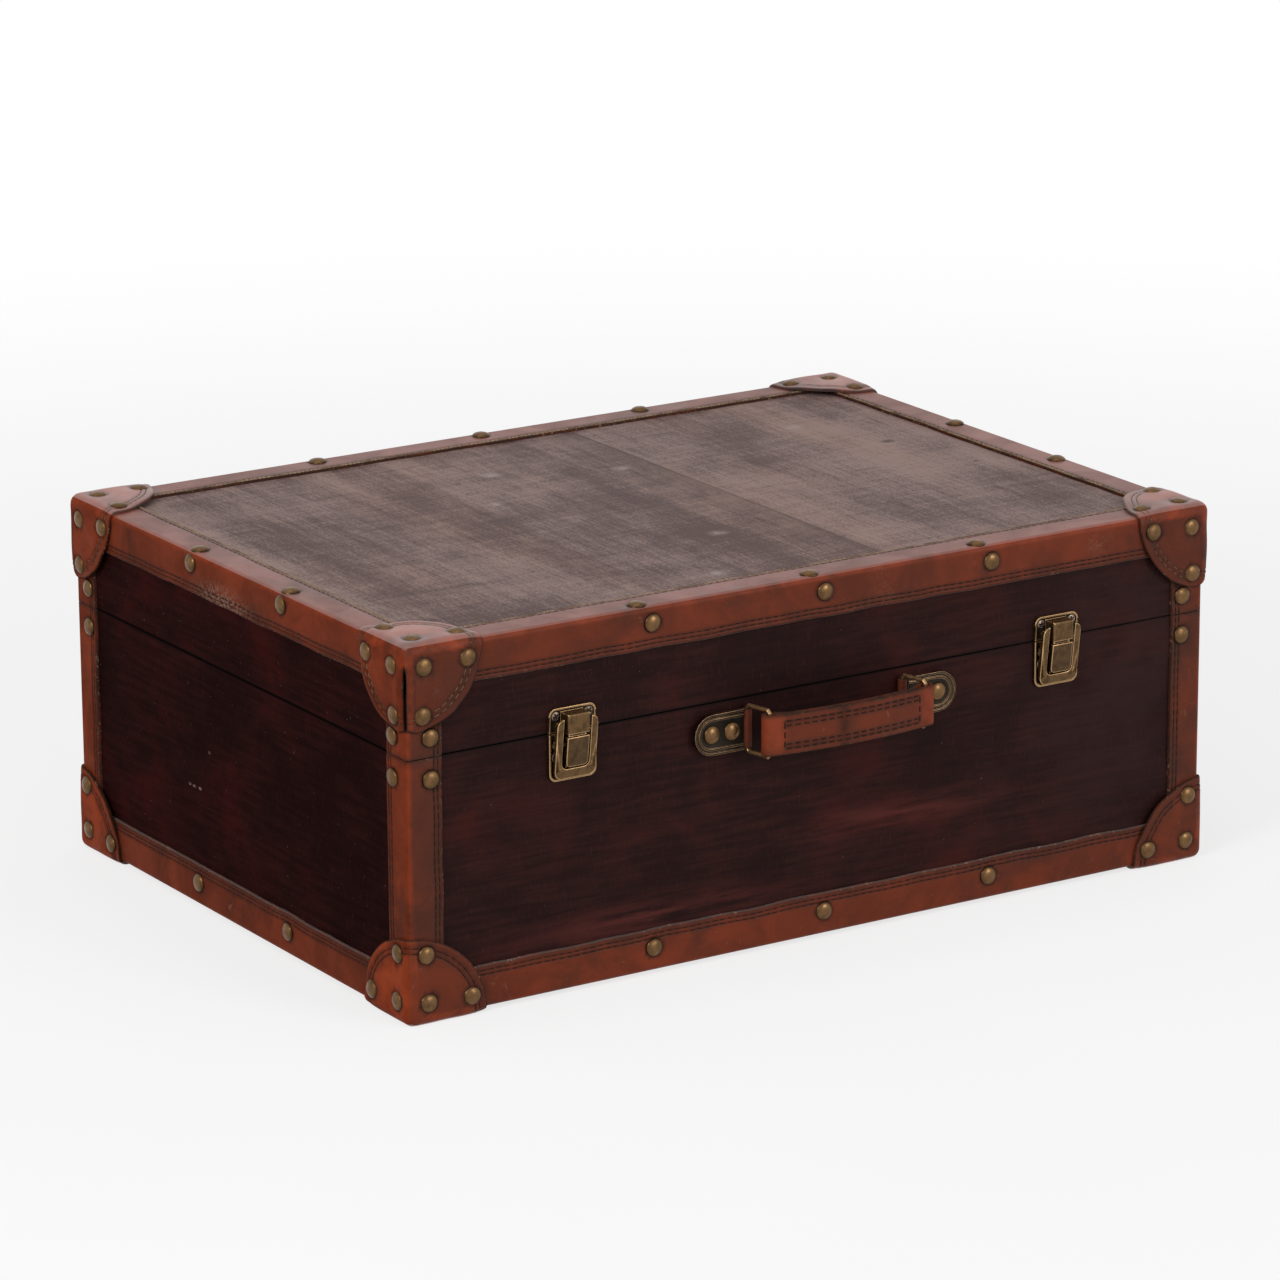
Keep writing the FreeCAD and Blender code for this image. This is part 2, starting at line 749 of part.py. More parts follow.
def build_latches():
    fixed = {"keeper": latch_keeper(), "plate": latch_plate(), "spring": latch_spring()}
    pieces = {**fixed, "frame": latch_frame(), "tongue": latch_tongue()}
    for name, shape in pieces.items():
        for side, copy in at_latches(shape).items():
            add(f"latch_{name}_{side}", copy)
    add("latch_pivot_pins", *at_latches(pivot_pin()).values())


def build_screws():
    lid_places = latch_screw_places(keeper_height - latch_rim - screw_radius - free) + hinge_screw_places(1)
    base_places = latch_screw_places(-pivot_drop - ear_radius - 2 * screw_radius) + hinge_screw_places(-1)
    add("lid_screws", *heads(lid_places, screw_radius, screw_height))
    add("base_screws", *heads(base_places, screw_radius, screw_height))


def build_handle():
    right = {"plate": handle_plate(), "tab": handle_tab()}
    left = {name: mirror_x(shape) for name, shape in right.items()}
    ring = handle_ring()
    for side, sign, pieces in (("left", -1, left), ("right", 1, right)):
        for name, shape in pieces.items():
            add(f"handle_{name}_{side}", shape.translated(handle_middle))
        bar = handle_middle + bar_shift + Vector(sign * handle_span / 2, 0, 0)
        add(f"handle_ring_{side}", ring.translated(bar))
    add("handle_strap", handle_strap().translated(handle_middle + bar_shift + ring_shift))


build_base()
build_lid()
build_hinges()
build_latches()
build_screws()
build_handle()

os.makedirs("parts", exist_ok=True)
for name, shape in nodes.items():
    shape.exportStep(f"parts/{name}.step")
print(len(nodes), "nodes")
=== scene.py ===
import json
import math
import random

import bmesh
import bpy
from mathutils import Matrix, Vector, noise


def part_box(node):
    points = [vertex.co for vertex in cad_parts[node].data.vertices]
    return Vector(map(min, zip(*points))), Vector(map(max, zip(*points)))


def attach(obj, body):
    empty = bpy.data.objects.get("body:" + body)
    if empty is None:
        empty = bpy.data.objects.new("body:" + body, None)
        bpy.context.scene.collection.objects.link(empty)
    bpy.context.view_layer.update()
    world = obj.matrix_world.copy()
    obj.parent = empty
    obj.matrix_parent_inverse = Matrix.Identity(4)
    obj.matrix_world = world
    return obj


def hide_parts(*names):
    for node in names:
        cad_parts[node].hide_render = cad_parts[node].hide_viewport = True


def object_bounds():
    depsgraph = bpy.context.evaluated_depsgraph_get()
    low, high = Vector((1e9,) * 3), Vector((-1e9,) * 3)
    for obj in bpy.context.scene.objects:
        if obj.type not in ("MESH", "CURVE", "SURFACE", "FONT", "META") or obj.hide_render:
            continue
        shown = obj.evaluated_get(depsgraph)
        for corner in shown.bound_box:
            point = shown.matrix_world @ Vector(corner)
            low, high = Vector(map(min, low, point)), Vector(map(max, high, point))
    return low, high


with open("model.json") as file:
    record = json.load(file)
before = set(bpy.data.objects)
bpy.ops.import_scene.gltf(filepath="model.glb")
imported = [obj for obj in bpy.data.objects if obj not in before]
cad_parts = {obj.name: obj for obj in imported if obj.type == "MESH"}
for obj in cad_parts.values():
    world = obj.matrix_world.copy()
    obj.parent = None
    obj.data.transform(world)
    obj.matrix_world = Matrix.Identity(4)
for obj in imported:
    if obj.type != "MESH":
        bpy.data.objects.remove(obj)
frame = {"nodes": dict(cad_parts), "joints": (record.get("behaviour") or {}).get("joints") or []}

# A wooden suitcase bound in stitched leather. Metres; small sizes are in millimetres times MM.
MM = 0.001
X, Y, Z = Vector((1, 0, 0)), Vector((0, 1, 0)), Vector((0, 0, 1))
cad_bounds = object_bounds()
nodes = frame["nodes"]
joints = {joint["name"]: joint for joint in frame["joints"]}
SEAM_Z = (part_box("base_front_panel")[1].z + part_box("lid_front_panel")[0].z) / 2
# The wood's outer faces, to the millimetre, where wear lies on them
FRONT_Y, LEFT_X, TOP_Z = -0.159, -0.238, 0.189


def put(made, **settings):
    """Set attributes of something new and give it back."""
    for key, value in settings.items():
        setattr(made, key, value)
    return made


def add(name, data):
    """A new object in the scene."""
    made = bpy.data.objects.new(name, data)
    bpy.context.scene.collection.objects.link(made)
    return made


# Materials

class Graph:
    """Short hand for building the node tree of one material or world, its data block."""

    def __init__(self, name, store=bpy.data.materials, shader="Principled BSDF"):
        self.block = store.new(name)
        self.block.use_nodes = True
        self.tree = self.block.node_tree
        self.shader = self.tree.nodes[shader]

    def node(self, kind, **settings):
        return put(self.tree.nodes.new(kind), **settings)

    def feed(self, socket, value):
        if hasattr(value, "is_output"):
            self.tree.links.new(value, socket)
        else:
            socket.default_value = value

    def fill(self, made, *first, **named):
        """Set or link a node's inputs, the first ones in turn and others by name."""
        for socket, value in zip(made.inputs, first):
            self.feed(socket, value)
        for key, value in named.items():
            self.feed(made.inputs[key.replace("_", " ")], value)
        return made

    def set(self, **sockets):
        self.fill(self.shader, **sockets)

    def coords(self, stretch=(1, 1, 1), shift=(0, 0, 0)):
        source = self.node("ShaderNodeTexCoord").outputs["Object"]
        mapping = self.fill(self.node("ShaderNodeMapping"), Vector=source, Scale=stretch, Location=shift)
        return mapping.outputs["Vector"]

    def noise(self, scale, detail=4, rough=0.55, stretch=(1, 1, 1), twist=0.0, shift=(0, 0, 0)):
        made = self.fill(self.node("ShaderNodeTexNoise"), Vector=self.coords(stretch, shift), Scale=scale,
                         Detail=detail, Roughness=rough, Distortion=twist)
        return made.outputs["Fac"]

    def remap(self, value, low, high, to_low=0.0, to_high=1.0):
        made = self.node("ShaderNodeMapRange", interpolation_type="SMOOTHSTEP")
        self.fill(made, Value=value, From_Min=low, From_Max=high, To_Min=to_low, To_Max=to_high)
        return made.outputs["Result"]

    def math(self, operation, a, b=0.0):
        return self.fill(self.node("ShaderNodeMath", operation=operation), a, b).outputs["Value"]

    def times(self, a, b):
        return self.math("MULTIPLY", a, b)

    def mix(self, factor, a, b):
        made = self.node("ShaderNodeMix", data_type="RGBA")
        self.feed(made.inputs["Factor"], factor)
        for key, colour in (("A", a), ("B", b)):
            socket = [s for s in made.inputs if s.name == key and s.type == "RGBA"][0]
            self.feed(socket, colour if hasattr(colour, "is_output") else (*colour, 1.0))
        return [s for s in made.outputs if s.type == "RGBA"][0]

    def attribute(self, name):
        return self.node("ShaderNodeAttribute", attribute_name=name).outputs["Fac"]

    def axis(self, letter):
        return self.fill(self.node("ShaderNodeSeparateXYZ"), self.coords()).outputs[letter]

    def hollow(self, reach):
        """1 deep in corners and gaps, 0 on open faces."""
        shade = self.fill(self.node("ShaderNodeAmbientOcclusion", samples=8), Distance=reach)
        return self.remap(shade.outputs["AO"], 0.35, 0.9, 1, 0)

    def over(self, share, colour):
        """Lay a colour over the base colour so far."""
        self.set(Base_Color=self.mix(share, self.shader.inputs["Base Color"].links[0].from_socket, colour))

    def rub_and_highlight_edges(self, bright, reach):
        """Turn the base colour bright on outward edges, within reach of them, as rubbed wear with a painted
        highlight.
        """
        shade = self.node("ShaderNodeAmbientOcclusion", samples=8, inside=True, only_local=True)
        self.fill(shade, Distance=reach)
        self.over(self.remap(shade.outputs["AO"], 0.55, 0.97, 0.95, 0), bright)

    def spot(self, centre, radii, solid=0.0):
        """1 at a point and out to the solid share of an ellipsoid round it, falling to 0 on it."""
        place = self.coords()
        for operation, value in (("SUBTRACT", centre), ("DIVIDE", radii)):
            made = self.node("ShaderNodeVectorMath", operation=operation)
            place = self.fill(made, place, value).outputs["Vector"]
        length = self.fill(self.node("ShaderNodeVectorMath", operation="LENGTH"), place)
        return self.remap(length.outputs["Value"], solid, 1, 1, 0)

    def seen_directly(self):
        """1 for rays from the camera, a mirror or glass, else 0."""
        rays = self.node("ShaderNodeLightPath").outputs
        mirrored = self.math("MAXIMUM", rays["Is Camera Ray"], rays["Is Glossy Ray"])
        return self.math("MAXIMUM", mirrored, rays["Is Transmission Ray"])

    def bump(self, height, strength, distance):
        made = self.fill(self.node("ShaderNodeBump"), Strength=strength, Distance=distance, Height=height)
        self.set(Normal=made.outputs["Normal"])


def tint(colour, share):
    """A colour made darker or lighter by one factor."""
    return [min(1.0, share * channel) for channel in colour]


def wood_material(name, grain, dark, light, gloss):
    """Stained, waxed veneer; grain is the stretch that draws the figure out along the board."""
    g = Graph(name)
    across = [1 if s < 1 else 0.15 for s in grain]
    streak = g.noise(340, 6, 0.66, grain, 0.2)
    cloud = g.noise(15, 6, 0.62, twist=0.4)
    fine = g.noise(1500, 3, 0.7, grain)
    g.set(Base_Color=g.mix(g.remap(streak, 0.34, 0.68), dark, light))
    g.over(g.remap(cloud, 0.36, 0.54, 0.6, 0), tint(dark, 0.65))
    blush = (1.9 * light[0], 1.25 * light[1], 1.15 * light[2])
    g.over(g.remap(cloud, 0.5, 0.7, 0, 0.6), blush)
    g.over(g.remap(fine, 0.55, 0.8, 0, 0.4), tint(dark, 0.6))
    weft = g.remap(g.noise(1100, 2, 0.5, across), 0.56, 0.74, 0, 0.3)
    g.over(weft, tint(light, 1.7))
    speck = g.remap(g.noise(560, 1, 0.4), 0.775, 0.82, 0, 0.4)
    g.over(speck, (0.2, 0.15, 0.13))
    # Painted shade: nearly black along the gap between lid and base.
    from_seam = g.math("ABSOLUTE", g.math("SUBTRACT", g.axis("Z"), SEAM_Z))
    g.over(g.remap(from_seam, 0.0003, 0.0015, 0.9, 0), (0.004, 0.002, 0.002))
    g.set(Roughness=g.remap(cloud, 0.3, 0.75, 0.42, 0.56), Specular_IOR_Level=gloss)
    g.bump(g.math("ADD", g.times(streak, 0.7), fine), 0.3, 0.0003)
    return g


def front_wood_material():
    """Front and back walls: rubbed stretches where the stain has gone red, a dark one and a hazy one."""
    g = wood_material("wood_front", (0.07, 1, 1), (0.0168, 0.0054, 0.005), (0.034, 0.0106, 0.0091), 0.06)
    patch = g.math("MAXIMUM", g.spot((0.048, FRONT_Y, 0.057), (0.1, 0.03, 0.013)),
                   g.spot((-0.1, FRONT_Y, 0.03), (0.12, 0.03, 0.016)))
    broken = g.remap(g.noise(150, 5, 0.68, (0.12, 1, 1)), 0.36, 0.64, 0, 0.9)
    g.over(g.times(patch, broken), (0.105, 0.026, 0.0215))
    dusk = g.times(g.spot((0.02, FRONT_Y, 0.138), (0.06, 0.03, 0.03)), 0.5)
    g.over(dusk, (0.009, 0.0032, 0.003))
    clouded = g.remap(g.noise(30, 4), 0.35, 0.6, 0.2, 0.7)
    haze = g.times(g.spot((0.2, FRONT_Y, 0.1), (0.14, 0.03, 0.12)), clouded)
    g.over(haze, (0.036, 0.0155, 0.0155))
    return g


def side_wood_material():
    """Left and right walls, with a row of pale nicks and a fainter mark on the left one."""
    g = wood_material("wood_side", (1, 0.07, 1), SIDE_DARK, SIDE_LIGHT, 0.003)
    chipped = g.remap(g.noise(460, 2), 0.42, 0.56, 0.1, 1)
    nicks = ((63, 64.8, 1.9, 0.95), (57.5, 64.8, 3.2, 0.8), (52, 64.9, 1.9, 0.95), (41, 87, 1.6, 0.45))
    for y, z, length, strength in nicks:
        nick = g.spot((LEFT_X, y * MM, z * MM), (0.01, length * MM, 1.1 * MM), 0.5)
        g.over(g.times(g.times(nick, chipped), strength), (0.27, 0.185, 0.125))
    return g


def top_wood_material():
    """The lid's worn top: hatched scratches, bands, a veneer joint, pale spots and stains; its pale grey
    cast is partly painted sheen.
    """
    g = Graph("wood_top")
    marks = ((0.17, 34, (1, 0.04, 1)), (0.2, 13, (1, 1, 1)), (0.1, 760, (0.08, 1, 1)),
             (0.16, 1500, (1, 0.05, 1)), (0.07, 200, (0.12, 1, 1)), (0.07, 260, (1, 0.04, 1)),
             (0.23, 1000, (0.6, 1, 1)))
    wear_and_sheen = 0.0
    for share, scale, stretch in marks:
        wear_and_sheen = g.math("ADD", wear_and_sheen, g.times(g.noise(scale, 4, 0.6, stretch, 0.1), share))
    wear_and_sheen = g.math("ADD", wear_and_sheen, g.remap(g.axis("X"), -0.222, -0.2, 0.035, 0))
    wear_and_sheen = g.math("ADD", wear_and_sheen, g.remap(g.axis("X"), 0.052, 0.054, 0, 0.022))
    worn = ((-50, 100, 200, 80, 0.016), (190, 30, 100, 160, 0.02), (-10, -40, 100, 120, -0.02),
            (-190, 20, 30, 120, -0.02))
    for x, y, wide, deep, share in worn:
        place = g.spot((x * MM, y * MM, TOP_Z), (wide * MM, deep * MM, 0.1))
        wear_and_sheen = g.math("ADD", wear_and_sheen, g.times(place, share))
    # The pale grey end stands for scratched, worn wood and also for painted sheen.
    pale_share = g.remap(wear_and_sheen, 0.44, 0.58)
    g.set(Base_Color=g.mix(pale_share, (0.072, 0.039, 0.035), (0.32, 0.222, 0.2)))
    warm = g.remap(g.noise(17, 3, 0.5, (1, 0.2, 1), shift=(2, 9, 4)), 0.45, 0.65, 0, 0.5)
    g.over(warm, g.mix(pale_share, (0.088, 0.041, 0.033), (0.34, 0.218, 0.182)))
    pale_spots = ((-32, 104, 9), (34, 78, 8), (-61, 51, 7), (5, -60, 8), (-36, -123, 9), (160, 100, 9))
    for x, y, radius in pale_spots:
        pale = g.spot((x * MM, y * MM, TOP_Z), (radius * MM, 0.8 * radius * MM, 0.02))
        pale = g.times(pale, g.remap(g.noise(240, 4, 0.6), 0.35, 0.65, 0.3, 0.9))
        g.over(pale, (0.4, 0.32, 0.29))
    joint = g.math("SUBTRACT", g.axis("X"), 0.0535)
    g.over(g.remap(g.math("ABSOLUTE", joint), 0.0002, 0.0012, 0.55, 0), (0.03, 0.016, 0.013))
    left = g.times(g.remap(joint, -0.03, 0.0, 0, 0.35), g.remap(joint, -0.0005, 0.0005, 1, 0))
    g.over(left, (0.06, 0.031, 0.026))
    for x, y, size in ((185, 47, 7), (200, -14, 3), (-116, 75, 2)):
        stain = g.times(g.spot((x * MM, y * MM, TOP_Z), (size * MM, 0.7 * size * MM, 0.02)), 0.85)
        g.over(stain, (0.03, 0.016, 0.012))
    g.set(Roughness=g.remap(wear_and_sheen, 0.4, 0.6, 0.5, 0.62), Specular_IOR_Level=0.1)
    g.bump(wear_and_sheen, 0.5, 0.0008)
    return g


def leather_material(name, body, deep, gloss, frayed=0.75, coat=0.0):
    """Hide: mottling, pores, frayed edges, bends rubbed and painted with highlights, front faces painted
    darker, dirt and painted shade in the seams, one scrape on the lid.
    """
    g = Graph(name)
    mottle = g.noise(30, 6, 0.62, twist=0.6)
    blotch = g.noise(8, 4, 0.55)
    fibre = g.noise(520, 3, 0.65)
    g.set(Base_Color=g.mix(g.remap(mottle, 0.36, 0.68), body, deep))
    g.over(g.remap(blotch, 0.5, 0.74, 0, 0.6), tint(deep, 0.75))
    # Painted shade: the tone attribute darkens front-facing faces and each leg towards its cut edge, besides
    # the hide's own darker tone on the strap and tabs.
    shaded = g.times(g.attribute("tone"), g.remap(mottle, 0.3, 0.6, 0.7, 1))
    g.over(shaded, (0.085, 0.024, 0.013))
    # Lighter on bends, patch tops and the base patches' left faces: rubbed wear with a painted highlight.
    rub_and_highlight = g.times(g.attribute("rub_and_highlight"), g.remap(g.noise(60, 4, 0.6), 0.38, 0.62))
    g.over(rub_and_highlight, tint(body, 1.4))
    grime = g.remap(g.noise(24, 6, 0.66, twist=0.3, shift=(3, 3, 7)), 0.48, 0.7, 0, 0.7)
    g.over(grime, (0.062, 0.019, 0.011))
    scuff = g.remap(g.noise(170, 3, 0.65, twist=0.8), 0.67, 0.75, 0, 0.4)
    g.over(scuff, (0.27, 0.12, 0.07))
    # Darker in stitch grooves, round tacks and along patch seams as grime with painted shade, and painted
    # shade in and behind the slits of lid patches.
    dirt_and_shade = g.times(g.attribute("dirt_and_shade"), g.remap(g.noise(150, 4, 0.6), 0.28, 0.6, 0.4, 1))
    g.over(dirt_and_shade, (0.026, 0.011, 0.008))
    # Cut edges darken; at the slits of lid patches this is painted shade.
    edge = g.attribute("edge")
    worn = g.times(edge, g.remap(g.noise(110, 4, 0.6), 0.3, 0.6, 0.55, 1))
    g.over(worn, (0.04, 0.018, 0.012))
    fray = g.times(edge, g.remap(fibre, 0.55, 0.68))
    fray = g.times(fray, g.remap(g.noise(24, 3, 0.6, shift=(4, 2, 1)), 0.42, 0.62))
    g.over(g.times(fray, frayed), (0.3, 0.185, 0.12))
    pale_share = g.times(g.remap(g.noise(17, 3, 0.6, shift=(1, 5, 2)), 0.6, 0.72), g.remap(fibre, 0.46, 0.58))
    g.over(g.times(pale_share, 0.2), (0.22, 0.14, 0.105))
    scrape = g.times(g.spot((-0.242, 0.02, 0.172), (0.02, 0.04, 0.012)), g.remap(fibre, 0.42, 0.6))
    g.over(g.times(scrape, 0.8), (0.26, 0.17, 0.13))
    dull = g.times(g.math("MAXIMUM", g.attribute("dirt_and_shade"), edge), 0.95)
    g.set(Roughness=g.math("MAXIMUM", g.remap(mottle, 0.3, 0.75, 0.4, 0.56), dull),
          Specular_IOR_Level=gloss, Coat_Weight=coat, Coat_Roughness=0.35)
    pores = g.fill(g.node("ShaderNodeTexVoronoi", feature="DISTANCE_TO_EDGE"), Vector=g.coords(), Scale=900)
    relief = g.math("ADD", g.times(mottle, 0.8), g.times(fibre, 0.3))
    g.bump(g.math("ADD", pores.outputs["Distance"], relief), 0.25, 0.0003)
    return g


def brass_material(name, metal, patina, cover, rough, crevice=0.0022, rubbed=None):
    """Antiqued brass: patina in clouds, fine scratches, and darkening in hollows, in gaps between parts and
    where the rim attribute says, as patina with painted shade.

    Where a rubbed colour is given, outward edges turn that colour, as rubbed wear with a painted highlight.
    """
    g = Graph(name)
    cloud = g.noise(260, 5, 0.62)
    g.set(Base_Color=g.mix(g.remap(cloud, 0.34, 0.7, 0, cover), metal, patina))
    scratch = g.remap(g.noise(1100, 2, 0.5, (1, 1, 0.12)), 0.58, 0.74, 0, 0.5)
    g.over(scratch, tint(metal, 1.3))
    # Darker where the rim attribute says: patina with painted shade at tack feet and screw recesses.
    g.over(g.attribute("rim"), tint(patina, 0.3))
    # Nearly black in hollows and in gaps between parts: patina in the hollows, painted shade in the gaps.
    g.over(g.times(g.hollow(crevice), 0.92), tint(patina, 0.16))
    if rubbed:
        g.rub_and_highlight_edges(rubbed, 0.0008)
    g.set(Metallic=1.0, Roughness=g.remap(cloud, 0.3, 0.7, rough - 0.06, rough + 0.14))
    g.bump(cloud, 0.12, 0.0002)
    return g


def plate_material(name, metal, field_y, rim_y, rubbed, reach):
    """A brass plate whose sunk field is nearly black; the two levels are measured along Y."""
    g = brass_material(name, metal, tint(metal, 0.4), 0.8, 0.4)
    g.over(g.remap(g.axis("Y"), rim_y, field_y, 0, 0.88), (0.022, 0.018, 0.014))
    g.rub_and_highlight_edges(rubbed, reach)
    return g


def cloth_material():
    """Lining cloth, woven along all three axes so that each face shows its threads."""
    g = Graph("lining_cloth")
    weave = 0.0
    for along in ((0.04, 1, 1), (1, 0.04, 1), (1, 1, 0.04)):
        weave = g.math("ADD", weave, g.noise(1300, 1, 0.4, along))
    g.set(Base_Color=g.mix(g.remap(weave, 1.25, 1.75), (0.2, 0.15, 0.1), (0.34, 0.27, 0.2)))
    g.over(g.remap(g.noise(11, 4), 0.5, 0.75, 0, 0.4), (0.16, 0.12, 0.085))
    g.set(Roughness=0.9, Specular_IOR_Level=0.15)
    g.bump(weave, 0.4, 0.0004)
    return g


def thread_material(name, colour):
    """Twisted thread with dirt on it."""
    g = Graph(name)
    ply = g.noise(2600, 2, 0.5, (1, 1, 0.5))
    worn = g.remap(g.noise(70, 3), 0.4, 0.65, 0, 0.6)
    twine = g.mix(g.remap(ply, 0.4, 0.65), colour, tint(colour, 0.4))
    g.set(Base_Color=g.mix(worn, twine, (0.03, 0.014, 0.01)), Roughness=0.8, Specular_IOR_Level=0.1)
    g.bump(ply, 0.5, 0.0002)
    return g


def steel_material():
    g = Graph("steel")
    brushed = g.noise(500, 3, 0.6, (0.1, 1, 1))
    colour = g.mix(g.remap(brushed, 0.4, 0.65), (0.3, 0.28, 0.26), (0.16, 0.14, 0.125))
    g.set(Base_Color=colour, Metallic=1.0, Roughness=0.42)
    g.bump(brushed, 0.1, 0.0002)
    return g


HIDE, DEEP_HIDE = (0.25, 0.041, 0.0132), (0.155, 0.0265, 0.0095)
STRAP_HIDE, DEEP_STRAP_HIDE = (0.2, 0.037, 0.014), (0.125, 0.025, 0.0105)
SIDE_DARK, SIDE_LIGHT = (0.0145, 0.0038, 0.0036), (0.028, 0.0073, 0.0066)
LATCH_METAL, LATCH_PATINA = (0.14, 0.081, 0.037), (0.06, 0.035, 0.018)
TONGUE_METAL, TONGUE_PATINA = (0.1, 0.059, 0.03), (0.048, 0.029, 0.0155)
wood_front = front_wood_material()
wood_side = side_wood_material()
wood_top = top_wood_material()
SIDE_GLOSS, FRONT_GLOSS, TOP_GLOSS = 0.02, 0.13, 0.88
leather = leather_material("leather", HIDE, DEEP_HIDE, FRONT_GLOSS)
dull_leather = leather_material("dull_leather", HIDE, DEEP_HIDE, SIDE_GLOSS)
waxed_leather = leather_material("waxed_leather", HIDE, DEEP_HIDE, TOP_GLOSS)
polished_leather = leather_material("polished_leather", HIDE, DEEP_HIDE, TOP_GLOSS, coat=0.45)
strap_leather = leather_material("strap_leather", STRAP_HIDE, DEEP_STRAP_HIDE, FRONT_GLOSS, frayed=0.2)
tack_brass = brass_material("tack_brass", (0.18, 0.1, 0.044), (0.085, 0.047, 0.022), 0.75, 0.33)
# Edge colours: brass rubbed bright, lighter still as a painted highlight.
RUBBED_HIGHLIGHT, DARK_RUBBED_HIGHLIGHT = (0.56, 0.355, 0.175), (0.3, 0.19, 0.11)
FINE_CREVICE = 0.6 * MM
latch_brass = brass_material("latch_brass", LATCH_METAL, LATCH_PATINA, 0.85, 0.36, rubbed=RUBBED_HIGHLIGHT)
tongue_brass = brass_material("tongue_brass", TONGUE_METAL, TONGUE_PATINA, 0.85, 0.36, rubbed=RUBBED_HIGHLIGHT)
# Bevelled edges in the rubbed colours, wear with a painted highlight.
edge_brass = brass_material("edge_brass", RUBBED_HIGHLIGHT, tint(RUBBED_HIGHLIGHT, 0.6), 0.6, 0.33, FINE_CREVICE)
dark_edge_brass = brass_material("dark_edge_brass", DARK_RUBBED_HIGHLIGHT, tint(DARK_RUBBED_HIGHLIGHT, 0.4), 0.8, 0.36,
                                 FINE_CREVICE)
ring_brass = brass_material("ring_brass", (0.36, 0.21, 0.105), (0.2, 0.11, 0.053), 0.6, 0.44, FINE_CREVICE)
hinge_brass = brass_material("hinge_brass", (0.2, 0.115, 0.05), (0.08, 0.046, 0.022), 0.8, 0.38)
screw_bronze = brass_material("screw_bronze", (0.28, 0.215, 0.165), (0.11, 0.082, 0.062), 0.8, 0.34)
# By the axis that a face looks along: X, Y, Z
HIDES = [dull_leather, leather, waxed_leather]
PATCH_HIDES = [dull_leather, leather, polished_leather]
cloth = cloth_material()
dark_thread = thread_material("dark_thread", (0.03, 0.017, 0.012))
straw_thread = thread_material("straw_thread", (0.23, 0.145, 0.075))
cord_thread = thread_material("cord_thread", (0.4, 0.29, 0.19))
steel = steel_material()


# Mesh helpers

CREASE = math.radians(50)


def piece(name, shape, looks, body, replaces=()):
    """One smooth-shaded mesh piece riding on a body; of three looks, a face takes the one for its axis."""
    mesh = bpy.data.meshes.new(name)
    mesh.from_pydata([tuple(v) for v in shape.verts], [], shape.faces)
    for key, values in shape.attributes.items():
        layer = mesh.attributes.new(key, "FLOAT", "POINT")
        layer.data.foreach_set("value", values)
    mesh.validate()
    bm = bmesh.new()
    bm.from_mesh(mesh)
    bmesh.ops.recalc_face_normals(bm, faces=bm.faces)
    bm.to_mesh(mesh)
    bm.free()
    for look in looks:
        mesh.materials.append(look.block)
    if len(looks) == 3:
        for polygon in mesh.polygons:
            sizes = [abs(c) for c in polygon.normal]
            polygon.material_index = sizes.index(max(sizes))
    mesh.shade_smooth()
    mesh.set_sharp_from_angle(angle=CREASE)
    made = add(name, mesh)
    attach(made, body)
    if replaces:
        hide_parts(*replaces)
    return made


class Mesh:
    """Collects vertices, faces and per-vertex values."""

    def __init__(self, *keys):
        self.verts, self.faces = [], []
        self.attributes = {key: [] for key in keys}

    def point(self, place, **values):
        self.verts.append(Vector(place))
        for key, store in self.attributes.items():
            store.append(values.get(key, 0.0))
        return len(self.verts) - 1

    def grid(self, rows, close_across=False, close_along=False):
        """Quads between rows of point numbers."""
        pairs = list(zip(rows, rows[1:])) + ([(rows[-1], rows[0])] if close_along else [])
        for a, b in pairs:
            count = len(a)
            for i in range(count if close_across else count - 1):
                j = (i + 1) % count
                self.faces.append((a[i], a[j], b[j], b[i]))


def smooth(low, high, value):
    """0 at low, 1 at high, easing in and out between; low may be the larger."""
    share = min(1, max(0, (value - low) / (high - low)))
    return share * share * (3 - 2 * share)


def wobble(place, scale, seed=0.0):
    """Smooth noise of about -1 to 1."""
    return noise.noise(Vector(place) * scale + Vector((seed, 2 * seed, 3 * seed)))


def islands(node):
    """(foot's centre, outward normal) of each separate head in a CAD node of faceted heads."""
    mesh = nodes[node].data
    parent = {}

    def find(a):
        while parent[a] != a:
            a = parent[a]
        return a

    for polygon in mesh.polygons:
        keys = [tuple(round(c, 6) for c in mesh.vertices[v].co) for v in polygon.vertices]
        for k in keys:
            parent.setdefault(k, k)
        for k in keys[1:]:
            parent[find(k)] = find(keys[0])
    groups = {}
    for k in parent:
        groups.setdefault(find(k), []).append(Vector(k))
    found = []
    for points in groups.values():
        spans = [max(p[i] for p in points) - min(p[i] for p in points) for i in range(3)]
        axis = spans.index(min(spans))
        middle = sum(points, Vector()) / len(points)
        low, high = (pick(p[axis] for p in points) for pick in (min, max))
        foot = max(points, key=lambda p: (p - middle).length)
        normal = Vector((0, 0, 0))
        normal[axis] = 1 if foot[axis] < (low + high) / 2 else -1
        middle[axis] = low if normal[axis] > 0 else high
        found.append((middle, normal))
    return sorted(found, key=lambda pair: tuple(round(c, 4) for c in pair[0]))


def frame_for(normal, turn=0.0):
    """Rotation taking +Z to normal, turned about it."""
    return normal.to_track_quat("Z", "Y").to_matrix() @ Matrix.Rotation(turn, 3, "Z")


